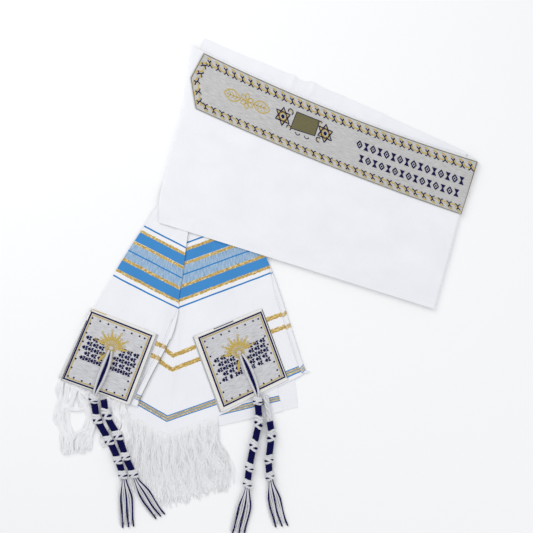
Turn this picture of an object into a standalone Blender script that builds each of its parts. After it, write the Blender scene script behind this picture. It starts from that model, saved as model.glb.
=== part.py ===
"""A prayer shawl, folded and laid flat, with a neckband, corner patches, fringe and four knotted tassels.

The plan is seen from above: +X runs to the right, +Y away from the fringe and +Z up from the table.
The origin is on the table, under the middle of the folded body. The tables are in millimetres.
"""

import math
from collections import namedtuple

import bmesh
import bpy
from mathutils import Vector

MM = 0.001

# Walls and gaps
CLOTH = 1.0
SEAM = 0.3
LIFT = 0.45
BRIDGE = 4.0
PATCH = 1.0
BAND = 1.0
HEM = 1.0
CORE_FLOOR = 2 * (CLOTH + LIFT)
CORE_TOP = 5.2

# How far a lower layer lifts the cloth above it, past its own edge
HOLD = 3.0
RAMP = 18.0

# The neckband's share of the body's depth, its pointed end and how far it turns round the right fold
BAND_DEPTH = 0.2
BAND_TIP = 0.5
BAND_START = 0.001
BAND_POINT = 0.035
BAND_ROLL = 0.62

Section = namedtuple("Section", "left_x left_y right_x right_y")
BodySection = namedtuple("BodySection", "left_x left_y right_x right_y sag curl")
PleatSection = namedtuple("PleatSection", "left_x left_y crease_x crease_y right_x right_y")
Ridge = namedtuple("Ridge", "start_x start_y end_x end_y width height")
Corners = namedtuple("Corners", "top_left top_right bottom_right bottom_left")
Wrap = namedtuple("Wrap", "kind length")
Level = namedtuple("Level", "z inset")

# The body, from the neckband's edge down to the hem; sag bows a row, and curl turns its left edge under
BODY_SECTIONS = [
    BodySection(-157, 223, 257, 57, 9.4, 165),
    BodySection(-169, 141, 232, -20, 6.0, 165),
    BodySection(-183, 90, 220, -67, 3.5, 165),
    BodySection(-197, 36, 207, -113, 1.5, 150),
    BodySection(-207, -9, 198, -146, 0.0, 20),
    BodySection(-207, -32, 194, -158, 0.0, 20),
]
BODY_RIDGES = [
    Ridge(-152, 112, -52, 62, 11, 1.5),
    Ridge(-186, 34, -78, -34, 14, 1.3),
    Ridge(12, 42, 148, -22, 13, 1.6),
    Ridge(60, -98, 176, -96, 12, 1.2),
]

# The hidden layers between the body's two faces, cut away where the two ends go in
CORE_SECTIONS = [
    PleatSection(-143, 211, 48, 128, 242, 53),
    PleatSection(-154, 141, 32, 54, 222, -22),
    PleatSection(-168, 90, 19, 8, 211, -66),
    PleatSection(-160, 40, 18, -36, 199, -110),
    PleatSection(-60, -30, 65, -88, 191, -144),
    PleatSection(-38, -80, 74, -116, 188, -150),
]
CORE_LEVELS = [
    Level(CORE_FLOOR, 1.0),
    Level(CORE_FLOOR + 0.4, 0.0),
    Level(CORE_FLOOR + 0.9, 0.0),
    Level(CORE_FLOOR + 1.3, 0.9),
    Level(CORE_FLOOR + 1.7, 0.0),
    Level(CORE_FLOOR + 2.2, 0.0),
    Level(CORE_TOP, 1.0),
]

# The layer behind, which shows past the neckband: its outer edge, left to right
RearEdge = namedtuple("RearEdge", "x y")
REAR_EDGE = [
    RearEdge(-138, 235),
    RearEdge(-87, 212),
    RearEdge(-40, 193),
    RearEdge(-8, 179),
    RearEdge(4, 172),
    RearEdge(18, 171),
    RearEdge(40, 160),
    RearEdge(84, 141),
    RearEdge(141, 114),
    RearEdge(199, 88),
    RearEdge(242, 68),
]
REAR_INSIDE = 45.0
REAR_RIDGES = [
    Ridge(-6, 186, -16, 158, 5, 1.6),
    Ridge(22, 176, 14, 148, 5, 1.4),
    Ridge(122, 130, 112, 110, 7, 1.0),
]

# The two ends of the shawl, each folded along its length, from under the body down to its fringe
UNDER_RIGHT_SECTIONS = [
    Section(-148, -35, -64, -46),
    Section(-141, -145, -36, -152),
    Section(-128, -246, -10, -249),
    Section(-119, -328, -3, -300),
]
RIGHT_LEG_SECTIONS = [
    PleatSection(-168, -32, -160, -35, -80, -7),
    PleatSection(-177, -90, -167, -84, -58, -62),
    PleatSection(-188, -145, -175, -149, -33, -123),
    PleatSection(-210, -196, -183, -220, -9, -196),
    PleatSection(-232, -246, -188, -273, 7, -244),
    PleatSection(-251, -307, -195, -338, 14, -270),
]
LEFT_UNDER_SECTIONS = [
    Section(-174, 6, -157, -26),
    Section(-235, -54, -177, -90),
    Section(-299, -157, -206, -188),
    Section(-321, -194, -229, -232),
    Section(-352, -258, -261, -291),
]
LEFT_LEG_SECTIONS = [
    Section(-186, 23, -157, -14),
    Section(-207, -9, -162, -46),
    Section(-233, -49, -166, -75),
    Section(-257, -86, -170, -109),
    Section(-277, -120, -175, -139),
    Section(-296, -152, -176, -162),
    Section(-309, -181, -183, -191),
    Section(-322, -210, -196, -220),
    Section(-335, -238, -213, -252),
    Section(-347, -262, -236, -299),
]
PLEAT_RIDGES = [Ridge(-160, -35, -195, -345, 5, 1.7)]
LEFT_LEG_RIDGES = [Ridge(-232, -60, -250, -150, 12, 1.0)]

# Turned hems along the long edges of the two ends, and the panel's row where each starts
LEFT_END_ROWS = 24
RIGHT_END_ROWS = 22
LEFT_HEM_START = 13
RIGHT_HEM_START = 7
LEFT_HEM_WIDTH = 9.0
RIGHT_HEM_WIDTH = 7.5

# Corner patches, as sewn at the shawl's corners
PATCH_LEFT = Corners((-302, -157), (-208, -194), (-247, -296), (-346, -261))
PATCH_UNDER = Corners((-311, -178), (-218, -210), (-258, -290), (-349, -257))
PATCH_RIGHT = Corners((-154, -198), (-55, -157), (-17, -260), (-114, -307))

# Tassels: the cord's path, and the lengths that are looped, wound and knotted along it
LOOP_HALF_WIDTH = 6.6
LOOP_HALF_HEIGHT = 2.2
WINDING_RADIUS = 4.7
WINDING_HALF_HEIGHT = 4.0
KNOT_RADIUS = 6.4
KNOT_HALF_HEIGHT = 4.8
FOOT_RADIUS = 3.6
STRAND_RADIUS = 1.5
STRAND_PITCH = 2.5
CORD_SIDES = 8
LEFT_UPPER_PATH = [
    (-274, -218), (-280, -239), (-289, -261), (-298, -286), (-297, -298), (-293, -318),
    (-278, -345), (-270, -360), (-262, -380), (-256, -400), (-254, -415),
]
LEFT_UPPER_WRAPS = [
    Wrap("loop", 69), Wrap("knot", 9), Wrap("winding", 17), Wrap("knot", 10), Wrap("winding", 24),
    Wrap("knot", 10), Wrap("winding", 22), Wrap("knot", 10), Wrap("winding", 16), Wrap("knot", 10),
]
LEFT_LOWER_PATH = [
    (-284, -289), (-281, -307), (-274, -323), (-264, -340), (-259, -352), (-252, -372),
    (-244, -390), (-236, -408), (-233, -414),
]
LEFT_LOWER_WRAPS = [
    Wrap("winding", 19), Wrap("knot", 12), Wrap("winding", 20), Wrap("knot", 11), Wrap("winding", 21),
    Wrap("knot", 10), Wrap("winding", 18), Wrap("knot", 10),
]
RIGHT_UPPER_PATH = [
    (-85.5, -223.5), (-76.5, -241), (-69, -260), (-62.5, -278), (-61.5, -292), (-60, -307), (-60, -322),
    (-63, -339), (-67.5, -357), (-71, -374), (-74, -391), (-76, -408), (-77, -417),
]
RIGHT_UPPER_WRAPS = [
    Wrap("loop", 67), Wrap("knot", 9), Wrap("winding", 18), Wrap("knot", 17), Wrap("winding", 19),
    Wrap("knot", 14), Wrap("winding", 20), Wrap("knot", 10), Wrap("winding", 14), Wrap("knot", 10),
]
RIGHT_LOWER_PATH = [
    (-49.5, -284), (-46.5, -303), (-44, -319), (-42, -333), (-41.5, -343), (-43, -356), (-45, -373),
    (-45, -390), (-43, -406),
]
RIGHT_LOWER_WRAPS = [
    Wrap("bare", 37), Wrap("winding", 13), Wrap("knot", 15), Wrap("winding", 21), Wrap("knot", 11),
    Wrap("winding", 14), Wrap("knot", 10),
]
WRAP_SIZES = {
    "loop": (LOOP_HALF_WIDTH, LOOP_HALF_HEIGHT),
    "bare": (3.8, 2.4),
    "winding": (WINDING_RADIUS, WINDING_HALF_HEIGHT),
    "knot": (KNOT_RADIUS, KNOT_HALF_HEIGHT),
}
FRINGE_LEVEL = 1.1

# Fringe: strands spread along a root strip just past the cloth's end
ROOT_STRIP = 2.2
ROOT_THICK = 0.9
STRAND_INSET = 0.22
STRAND_WIDTH = 0.72
STRAND_STEPS = 4
LEFT_FRINGE_COUNT = 35
RIGHT_FRINGE_COUNT = 56

COLOURS = {
    "cloth": ((0.93, 0.94, 0.95), 0.85, 0.0),
    "hidden_cloth": ((0.90, 0.91, 0.92), 0.9, 0.0),
    "silver_weave": ((0.62, 0.62, 0.63), 0.55, 0.2),
    "tassel_thread": ((0.05, 0.05, 0.20), 0.7, 0.0),
    "fringe_thread": ((0.95, 0.95, 0.94), 0.8, 0.0),
}


def clear_scene():
    """Removes whatever the opened file holds."""
    for thing in list(bpy.data.objects):
        bpy.data.objects.remove(thing)


def collection_for_parts():
    """The collection that holds the shawl's pieces."""
    parts = bpy.data.collections.new("prayer_shawl")
    bpy.context.scene.collection.children.link(parts)
    return parts


def material_named(name):
    """A plain material with the piece's colour and roughness."""
    found = bpy.data.materials.get(name)
    if found:
        return found
    colour, roughness, metallic = COLOURS[name]
    made = bpy.data.materials.new(name)
    made.use_nodes = True
    shader = made.node_tree.nodes["Principled BSDF"]
    shader.inputs["Base Color"].default_value = (*colour, 1.0)
    shader.inputs["Roughness"].default_value = roughness
    shader.inputs["Metallic"].default_value = metallic
    return made


def add_piece(parts, name, bm, material):
    """Closes a bmesh into a named object, in metres."""
    bmesh.ops.recalc_face_normals(bm, faces=bm.faces)
    if bm.calc_volume(signed=True) < 0:
        bmesh.ops.reverse_faces(bm, faces=bm.faces)
    bmesh.ops.scale(bm, vec=(MM, MM, MM), verts=bm.verts)
    mesh = bpy.data.meshes.new(name)
    bm.to_mesh(mesh)
    bm.free()
    mesh.shade_smooth()
    mesh.set_sharp_from_angle(angle=math.radians(40))
    mesh.materials.append(material_named(material))
    piece = bpy.data.objects.new(name, mesh)
    parts.objects.link(piece)
    return piece


def smooth_step(value):
    """0 below 0, 1 above 1, and an S-curve between."""
    t = min(max(value, 0.0), 1.0)
    return t * t * (3 - 2 * t)


def along_spline(points, t):
    """A point at share t of a smooth curve through evenly timed points."""
    spans = len(points) - 1
    i = min(int(t * spans), spans - 1)
    f = t * spans - i
    p1, p2 = points[i], points[i + 1]
    p0 = points[i - 1] if i > 0 else [2 * a - b for a, b in zip(p1, p2)]
    p3 = points[i + 2] if i + 2 <= spans else [2 * b - a for a, b in zip(p1, p2)]
    return tuple(
        b + 0.5 * f * (c - a + f * (2 * a - 5 * b + 4 * c - d + f * (3 * (b - c) + d - a)))
        for a, b, c, d in zip(p0, p1, p2, p3)
    )


def distance_outside(x, y, outline):
    """How far a plan point lies outside a closed outline; negative inside."""
    nearest, inside = 1e9, False
    for (ax, ay), (bx, by) in zip(outline, outline[1:] + outline[:1]):
        ex, ey = bx - ax, by - ay
        share = ((x - ax) * ex + (y - ay) * ey) / max(ex * ex + ey * ey, 1e-9)
        share = min(max(share, 0.0), 1.0)
        nearest = min(nearest, math.hypot(x - ax - share * ex, y - ay - share * ey))
        if (ay > y) != (by > y) and x < ax + (y - ay) * ex / ey:
            inside = not inside
    return -nearest if inside else nearest


def ridge_height(x, y, ridges):
    """The lift that soft folds give the cloth at a plan point."""
    lift = 0.0
    for ridge in ridges:
        ex, ey = ridge.end_x - ridge.start_x, ridge.end_y - ridge.start_y
        length = math.hypot(ex, ey)
        along = ((x - ridge.start_x) * ex + (y - ridge.start_y) * ey) / length
        across = ((x - ridge.start_x) * ey - (y - ridge.start_y) * ex) / length
        taper = smooth_step(along / (0.3 * length)) * smooth_step((length - along) / (0.3 * length))
        lift += ridge.height * taper * math.exp(-((across / ridge.width) ** 2))
    return lift


class Layer:
    """A sheet that lies on the sheets below it: its plan, its wall and the height of its underside."""

    def __init__(self, sections, thickness, supports=(), ridges=(), shares=None):
        self.sections = sections
        self.thickness = thickness
        self.supports = list(supports)
        self.ridges = ridges
        stations = len(sections[0]) // 2
        self.shares = shares or [i / (stations - 1) for i in range(stations)]
        self.outline = self.trace()

    def point(self, u, t):
        """The plan point at share u across and share t along."""
        row = along_spline(self.sections, t)
        stations = [(row[2 * i], row[2 * i + 1]) for i in range(len(self.shares))]
        for i in range(len(self.shares) - 1):
            low, high = self.shares[i], self.shares[i + 1]
            if u <= high or i == len(self.shares) - 2:
                f = (u - low) / (high - low)
                a, b = stations[i], stations[i + 1]
                return a[0] + f * (b[0] - a[0]), a[1] + f * (b[1] - a[1])

    def trace(self):
        """The closed outline: down the left edge, along the end, up the right edge and back."""
        steps = 14
        left = [self.point(0, i / steps) for i in range(steps + 1)]
        end = [self.point(share, 1) for share in self.shares[1:-1]]
        right = [self.point(1, 1 - i / steps) for i in range(steps + 1)]
        start = [self.point(share, 0) for share in reversed(self.shares[1:-1])]
        return left + end + right + start

    def reach(self, x, y):
        """1 on this layer, falling to 0 past its edge."""
        return 1 - smooth_step((distance_outside(x, y, self.outline) - HOLD) / RAMP)

    def underside(self, x, y):
        """The height of the lower face at a plan point."""
        return resting_height(x, y, self.supports) + ridge_height(x, y, self.ridges)

    def top(self, x, y):
        """The height of the upper face at a plan point."""
        return self.underside(x, y) + self.thickness


class Overlay(Layer):
    """A small piece sewn on a panel, which bridges the panel's hollows."""

    def underside(self, x, y):
        near = [(0, 0), (BRIDGE, 0), (-BRIDGE, 0), (0, BRIDGE), (0, -BRIDGE)]
        return max(resting_height(x + dx, y + dy, self.supports) for dx, dy in near)


def resting_height(x, y, supports):
    """Where cloth lies at a plan point, just above the layers under it, or on the table."""
    height = 0.0
    for layer in supports:
        share = layer.reach(x, y)
        if share > 0:
            height = max(height, share * (layer.top(x, y) + LIFT))
    return height


class Slab(Layer):
    """A layer that lies at a fixed height."""

    def __init__(self, sections, floor, thickness):
        super().__init__(sections, thickness)
        self.floor = floor

    def underside(self, x, y):
        return self.floor


def wall_between(columns, rows, lower, upper):
    """A closed wall: a grid placed on its lower face, and extruded to its upper face."""
    bm = bmesh.new()
    bmesh.ops.create_grid(bm, x_segments=columns, y_segments=rows, size=0.5)
    u_layer = bm.verts.layers.float.new("u")
    t_layer = bm.verts.layers.float.new("t")
    for vert in bm.verts:
        vert[u_layer] = vert.co.x + 0.5
        vert[t_layer] = 0.5 - vert.co.y
    made = bmesh.ops.extrude_face_region(bm, geom=list(bm.faces))
    raised = {item for item in made["geom"] if isinstance(item, bmesh.types.BMVert)}
    for vert in bm.verts:
        place = upper if vert in raised else lower
        vert.co = Vector(place(vert[u_layer], vert[t_layer]))
    return bm


def cloth_wall(parts, name, layer, columns, rows, material="cloth"):
    """A layer's own solid."""

    def lower(u, t):
        x, y = layer.point(u, t)
        return x, y, layer.underside(x, y)

    def upper(u, t):
        x, y, z = lower(u, t)
        return x, y, z + layer.thickness

    return add_piece(parts, name, wall_between(columns, rows, lower, upper), material)


def patch_layer(corners, supports):
    """A sewn patch as a layer of two sections."""
    sections = [
        Section(*corners.top_left, *corners.top_right),
        Section(*corners.bottom_left, *corners.bottom_right),
    ]
    return Overlay(sections, PATCH, supports)


def make_hem(parts, name, panel, first_row, rows, width):
    """A turned hem along a panel's right edge, with a section at each of the panel's rows."""
    sections = []
    for row in range(first_row, rows + 1):
        edge = Vector(panel.point(1, row / rows))
        inward = (Vector(panel.point(0.5, row / rows)) - edge).normalized()
        inner = edge + inward * width * (0.25 + 0.75 * smooth_step((row - first_row) / 3))
        outer = edge + inward * 0.2
        sections.append(Section(inner.x, inner.y, outer.x, outer.y))
    cloth_wall(parts, name, Overlay(sections, HEM, [panel]), 1, len(sections) - 1)


class Body:
    """The folded middle of the shawl: an upper face, the fold at its right, and a lower face on the table."""

    def __init__(self, supports):
        self.supports = supports

    def row(self, t):
        """The row's left end, its unit direction, its length, its sag and its curl at share t down the body."""
        values = along_spline(BODY_SECTIONS, t)
        left, right = Vector(values[0:2]), Vector(values[2:4])
        return left, (right - left).normalized(), (right - left).length, values[4], values[5]

    def plan(self, t, along):
        """The plan point at a distance along a row."""
        left, way, length, sag, _ = self.row(t)
        share = along / length
        down = Vector((way.y, -way.x))
        spot = left + way * along + down * sag * 4 * share * (1 - share)
        return spot.x, spot.y

    def inner_height(self, x, y):
        """The height of the upper face's underside."""
        height = max(CORE_TOP + LIFT, resting_height(x, y, self.supports))
        return height + ridge_height(x, y, BODY_RIDGES)

    def top_pair(self, t, along):
        """The inner and outer points of the upper face, and its normal."""
        x, y = self.plan(t, along)
        step = 2.0
        z = self.inner_height(x, y)
        slope_x = (self.inner_height(x + step, y) - self.inner_height(x - step, y)) / (2 * step)
        slope_y = (self.inner_height(x, y + step) - self.inner_height(x, y - step)) / (2 * step)
        normal = Vector((-slope_x, -slope_y, 1)).normalized()
        return Vector((x, y, z)), normal

    def fold_radius(self, t):
        """The outer radius of the fold at the right end of a row."""
        _, _, length, _, _ = self.row(t)
        inner, _ = self.top_pair(t, length - 4)
        return (inner.z + CLOTH) / 2

    def station(self, kind, share, t):
        """An inner point and its outward normal at a share of the curl, top, roll or under stretch."""
        _, way, length, _, curl = self.row(t)
        radius = self.fold_radius(t)
        across = Vector((way.x, way.y, 0))
        if kind == "curl":
            edge, normal = self.top_pair(t, 4.0)
            small = max((edge.z + CLOTH - 0.4) / 2, CLOTH + 0.6)
            turn = math.radians(curl * (1 - share))
            normal = Vector((-way.x * math.sin(turn), -way.y * math.sin(turn), math.cos(turn)))
            centre = edge - Vector((0, 0, small - CLOTH))
            return centre + normal * (small - CLOTH), normal
        if kind == "top":
            return self.top_pair(t, 4.0 + share * (length - radius - 4.0))
        if kind == "roll":
            x, y = self.plan(t, length - radius)
            turn = math.pi * share
            normal = across * math.sin(turn) + Vector((0, 0, math.cos(turn)))
            return Vector((x, y, radius)) + normal * (radius - CLOTH), normal
        along = (length - radius) * (1 - share) + 16.0 * share
        x, y = self.plan(0.02 + 0.94 * t, along)
        return Vector((x, y, CLOTH)), Vector((0, 0, -1))


BODY_STRETCHES = [("curl", 5), ("top", 20), ("roll", 6), ("under", 5)]


def body_stations():
    """The stations of one row, from the curled edge over the top and round the fold."""
    stations = []
    for kind, count in BODY_STRETCHES:
        first = 0 if not stations else 1
        stations += [(kind, i / count) for i in range(first, count + 1)]
    return stations


def make_body(parts, body):
    """The body's one sheet, folded round the hidden layers."""
    stations = body_stations()
    columns, rows = len(stations) - 1, 17

    def lower(u, t):
        kind, share = stations[round(u * columns)]
        return body.station(kind, share, t)[0]

    def upper(u, t):
        kind, share = stations[round(u * columns)]
        inner, normal = body.station(kind, share, t)
        return inner + normal * CLOTH

    return add_piece(parts, "shawl_body", wall_between(columns, rows, lower, upper), "cloth")


def band_start(depth):
    """The share of the top stretch where the pointed end of the neckband starts."""
    return BAND_START + BAND_POINT * abs(depth - BAND_TIP) / 0.5


def make_neckband(parts, body):
    """The woven neckband: laid along the body's upper edge, and turned round the right fold."""
    top_count, roll_count, rows = 24, 5, 6
    columns = top_count + roll_count

    def station(u, t):
        column = round(u * columns)
        if column <= top_count:
            start = band_start(t)
            return "top", start + (1 - start) * column / top_count
        return "roll", BAND_ROLL * (column - top_count) / roll_count

    def raised(lift):
        def place(u, t):
            kind, share = station(u, t)
            inner, normal = body.station(kind, share, 0.004 + BAND_DEPTH * t)
            return inner + normal * (CLOTH + lift)

        return place

    bm = wall_between(columns, rows, raised(LIFT), raised(LIFT + BAND))
    return add_piece(parts, "neckband", bm, "silver_weave")


def shrunk(outline, inset):
    """An outline moved inwards by a small distance."""
    moved = []
    count = len(outline)
    for i, here in enumerate(outline):
        before, after = Vector(outline[i - 1]), Vector(outline[(i + 1) % count])
        way = (after - before).normalized()
        moved.append(Vector(here) + Vector((-way.y, way.x)) * inset)
    return moved


def make_core(parts, core):
    """The hidden layers as one solid, grooved at its edges where the layers show."""
    outline = []
    for spot in core.outline:
        if not outline or (Vector(spot) - Vector(outline[-1])).length > 4:
            outline.append(spot)
    bm = bmesh.new()
    rings = []
    for level in CORE_LEVELS:
        ring = [bm.verts.new((spot.x, spot.y, level.z)) for spot in shrunk(outline, level.inset)]
        rings.append(ring)
    for low, high in zip(rings, rings[1:]):
        for i in range(len(low)):
            j = (i + 1) % len(low)
            bm.faces.new((low[i], low[j], high[j], high[i]))
    bm.faces.new(list(reversed(rings[0])))
    bm.faces.new(rings[-1])
    return add_piece(parts, "folded_layers", bm, "hidden_cloth")


def rear_layer(supports):
    """The layer behind the neckband, as sections across its strip."""
    inward = Vector((-0.396, -0.918)) * REAR_INSIDE
    sections = [
        Section(edge.x, edge.y, edge.x + inward.x, edge.y + inward.y) for edge in REAR_EDGE
    ]
    return Layer(sections, CLOTH, supports, REAR_RIDGES)


def grow_strand(bm, face, path, taper):
    """Insets a face and draws it out along a path of plan offsets and heights."""
    bmesh.ops.inset_individual(bm, faces=[face], thickness=STRAND_INSET, use_even_offset=True)
    middle = face.calc_center_median()
    root_side = Vector((face.normal.y, -face.normal.x, 0)).normalized()
    section = [vert.co - middle for vert in face.verts]
    previous = middle
    for i, spot in enumerate(path):
        made = bmesh.ops.extrude_discrete_faces(bm, faces=[face])
        face = made["faces"][0]
        after = path[i + 1] if i + 1 < len(path) else spot + (spot - previous)
        way = (after - previous).normalized()
        side = Vector((way.y, -way.x, 0)).normalized()
        up = side.cross(way)
        size = 1 - taper * (i + 1) / len(path)
        for vert, corner in zip(face.verts, section):
            across = corner.dot(root_side) * STRAND_WIDTH
            vert.co = spot + (side * across + up * corner.z) * size
        previous = spot


def fringe(parts, name, roots, ways, heights, reach, floor_of, waves):
    """A root strip with strands that stand apart, drawn from its outer side."""
    count = len(roots) - 1
    bm = bmesh.new()
    corners = []
    for root, way, height in zip(roots, ways, heights):
        near, far = root + way * SEAM, root + way * (SEAM + ROOT_STRIP)
        corners.append(
            [
                bm.verts.new((near.x, near.y, height)),
                bm.verts.new((far.x, far.y, height)),
                bm.verts.new((far.x, far.y, height + ROOT_THICK)),
                bm.verts.new((near.x, near.y, height + ROOT_THICK)),
            ]
        )
    outer = []
    for a, b in zip(corners, corners[1:]):
        for i in range(4):
            j = (i + 1) % 4
            made = bm.faces.new((a[i], a[j], b[j], b[i]))
            if i == 1:
                outer.append(made)
    bm.faces.new(list(reversed(corners[0])))
    bm.faces.new(corners[-1])
    bmesh.ops.recalc_face_normals(bm, faces=bm.faces)
    for k, face in enumerate(outer):
        share = (k + 0.5) / count
        middle = face.calc_center_median()
        way = (ways[k] + ways[k + 1]).normalized()
        length = reach * (1 + 0.05 * math.sin(2.4 * k) + 0.03 * math.sin(0.7 * k + 1))
        path = []
        for step in range(1, STRAND_STEPS + 1):
            run = step / STRAND_STEPS
            side = Vector((-way.y, way.x))
            spot = Vector((middle.x, middle.y)) + way * length * run + side * waves(share, run)
            low = floor_of(spot.x, spot.y) + 0.85
            height = middle.z + (low - middle.z) * smooth_step(run * 3)
            path.append(Vector((spot.x, spot.y, height)))
        grow_strand(bm, face, path, 0.25)
    return add_piece(parts, name, bm, "fringe_thread")


def edge_points(start, end, count):
    """Evenly spaced plan points from start to end."""
    a, b = Vector(start), Vector(end)
    return [a.lerp(b, i / count) for i in range(count + 1)]


def turned(angle):
    """A plan direction at an angle in degrees from straight down, positive to the right."""
    return Vector((math.sin(math.radians(angle)), -math.cos(math.radians(angle))))


def left_fringe_wave(share, run):
    """Locks that part round an oval gap near the left end, and drift together below it."""
    gap_at, gap_half = 0.21, 4.4
    side = 1.0 if share > gap_at else -1.0
    near = math.exp(-(((share - gap_at) / 0.3) ** 2))
    part = gap_half * near * side * math.exp(-(((run - 0.48) / 0.2) ** 2))
    return part + 1.4 * math.sin(5 * run + 5 * share) * run


def right_fringe_wave(share, run):
    """Locks that wave together."""
    return 1.8 * math.sin(4.2 * run + 5 * share) * run


def make_left_fringe(parts):
    """The fringe of the left end, whose roots lie under the upper layer's hem."""
    roots = edge_points((-349.5, -258.9), (-254, -293.6), LEFT_FRINGE_COUNT)
    ways = [turned(-2 + 0 * i) for i in range(len(roots))]
    heights = [0.35] * len(roots)
    return fringe(
        parts, "fringe_left", roots, ways, heights, 112.0, lambda x, y: 0.0, left_fringe_wave
    )


def make_right_fringe(parts, panel, beneath):
    """The fringe of the right end, along both sides of its pleat."""
    corner = panel.point(panel.shares[1], 1)
    left, right = panel.point(0.02, 1), panel.point(0.52, 1)
    left_count = round(RIGHT_FRINGE_COUNT * 0.45)
    roots = edge_points(left, corner, left_count)
    roots += edge_points(corner, right, RIGHT_FRINGE_COUNT - left_count)[1:]
    ways = [turned(-4 + 14 * i / RIGHT_FRINGE_COUNT) for i in range(len(roots))]
    heights = [panel.underside(spot.x, spot.y) + 0.2 for spot in roots]

    def floor_of(x, y):
        return beneath.reach(x, y) * (CLOTH + LIFT)

    return fringe(
        parts, "fringe_right", roots, ways, heights, 104.0, floor_of, right_fringe_wave
    )


def cord_stations(path, wraps):
    """Points along the cord with the half width and half height of its loop, windings and knots."""
    fine = [Vector(along_spline(path, i / 200)) for i in range(201)]
    runs = [0.0]
    for a, b in zip(fine, fine[1:]):
        runs.append(runs[-1] + (b - a).length)

    def at(distance):
        for i in range(1, len(runs)):
            if runs[i] >= distance or i == len(runs) - 1:
                f = (distance - runs[i - 1]) / (runs[i] - runs[i - 1])
                return fine[i - 1].lerp(fine[i], f)

    stations, done = [], 0.0
    for wrap in wraps:
        wide, high = WRAP_SIZES[wrap.kind]
        shares = {"loop": 6, "bare": 4, "winding": 3, "knot": 4}[wrap.kind]
        for i in range(shares):
            share = i / shares
            if wrap.kind == "loop":
                swell = 0.35 + 0.65 * math.sin(math.pi * min(share * 1.05, 1.0)) ** 0.7
                stations.append((at(done + share * wrap.length), wide * swell, high))
            elif wrap.kind == "knot":
                swell = 0.74 + 0.26 * math.sin(math.pi * (share + 0.5 / shares))
                stations.append((at(done + share * wrap.length), wide * swell, high * swell))
            else:
                stations.append((at(done + share * wrap.length), wide, high))
        done += wrap.length
    stations.append((at(done), FOOT_RADIUS, FOOT_RADIUS))
    return stations


def make_tassel(parts, name, path, wraps, floor_of, spread, reach, drift):
    """A tassel: its looped, wound and knotted cord in one sweep, with free strands at its foot."""
    stations = cord_stations(path, wraps)
    floors = [floor_of(spot.x, spot.y) for spot, _, _ in stations]
    bm = bmesh.new()
    rings = []
    for i, (spot, wide, high) in enumerate(stations):
        before = stations[max(i - 1, 0)][0]
        after = stations[min(i + 1, len(stations) - 1)][0]
        way = (after - before).normalized()
        side = Vector((-way.y, way.x))
        near = floors[max(i - 1, 0) : i + 2]
        height = max(near) + SEAM + high
        ring = []
        for k in range(CORD_SIDES):
            turn = 2 * math.pi * (k + 0.5) / CORD_SIDES
            flat = spot + side * wide * math.cos(turn)
            ring.append(bm.verts.new((flat.x, flat.y, height + high * math.sin(turn))))
        rings.append(ring)
    for low, high in zip(rings, rings[1:]):
        for k in range(CORD_SIDES):
            j = (k + 1) % CORD_SIDES
            bm.faces.new((low[k], low[j], high[j], high[k]))
    bm.faces.new(list(reversed(rings[0])))
    foot = bm.faces.new(rings[-1])
    bmesh.ops.recalc_face_normals(bm, faces=bm.faces)
    fan = bmesh.ops.poke(bm, faces=[foot])["faces"]
    last, previous = stations[-1][0], stations[-2][0]
    way = (last - previous).normalized()
    side = Vector((-way.y, way.x))
    ordered = sorted(fan, key=lambda face: Vector(face.calc_center_median()[:2]).dot(side))
    for k, face in enumerate(ordered):
        middle = face.calc_center_median()
        start = Vector((middle.x, middle.y))
        place = STRAND_PITCH * (k - (len(ordered) - 1) / 2) - (start - last).dot(side)
        above_fringe = FRINGE_LEVEL if floor_of(last.x, last.y) > 0.5 else 0.0
        strand = []
        for step in range(1, STRAND_STEPS + 1):
            run = step / STRAND_STEPS
            fan_out = place * smooth_step(run * 2.2) * (1 + spread * run)
            out = way * reach * run + side * (fan_out + drift * run * run)
            floor = above_fringe * (1 - smooth_step((run - 0.6) / 0.4))
            low = floor + SEAM + STRAND_RADIUS
            height = middle.z + (low - middle.z) * smooth_step((run - 0.1) * 1.8)
            strand.append(Vector((start.x + out.x, start.y + out.y, height)))
        grow_strand(bm, face, strand, 0.1)
    return add_piece(parts, name, bm, "tassel_thread")


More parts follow.
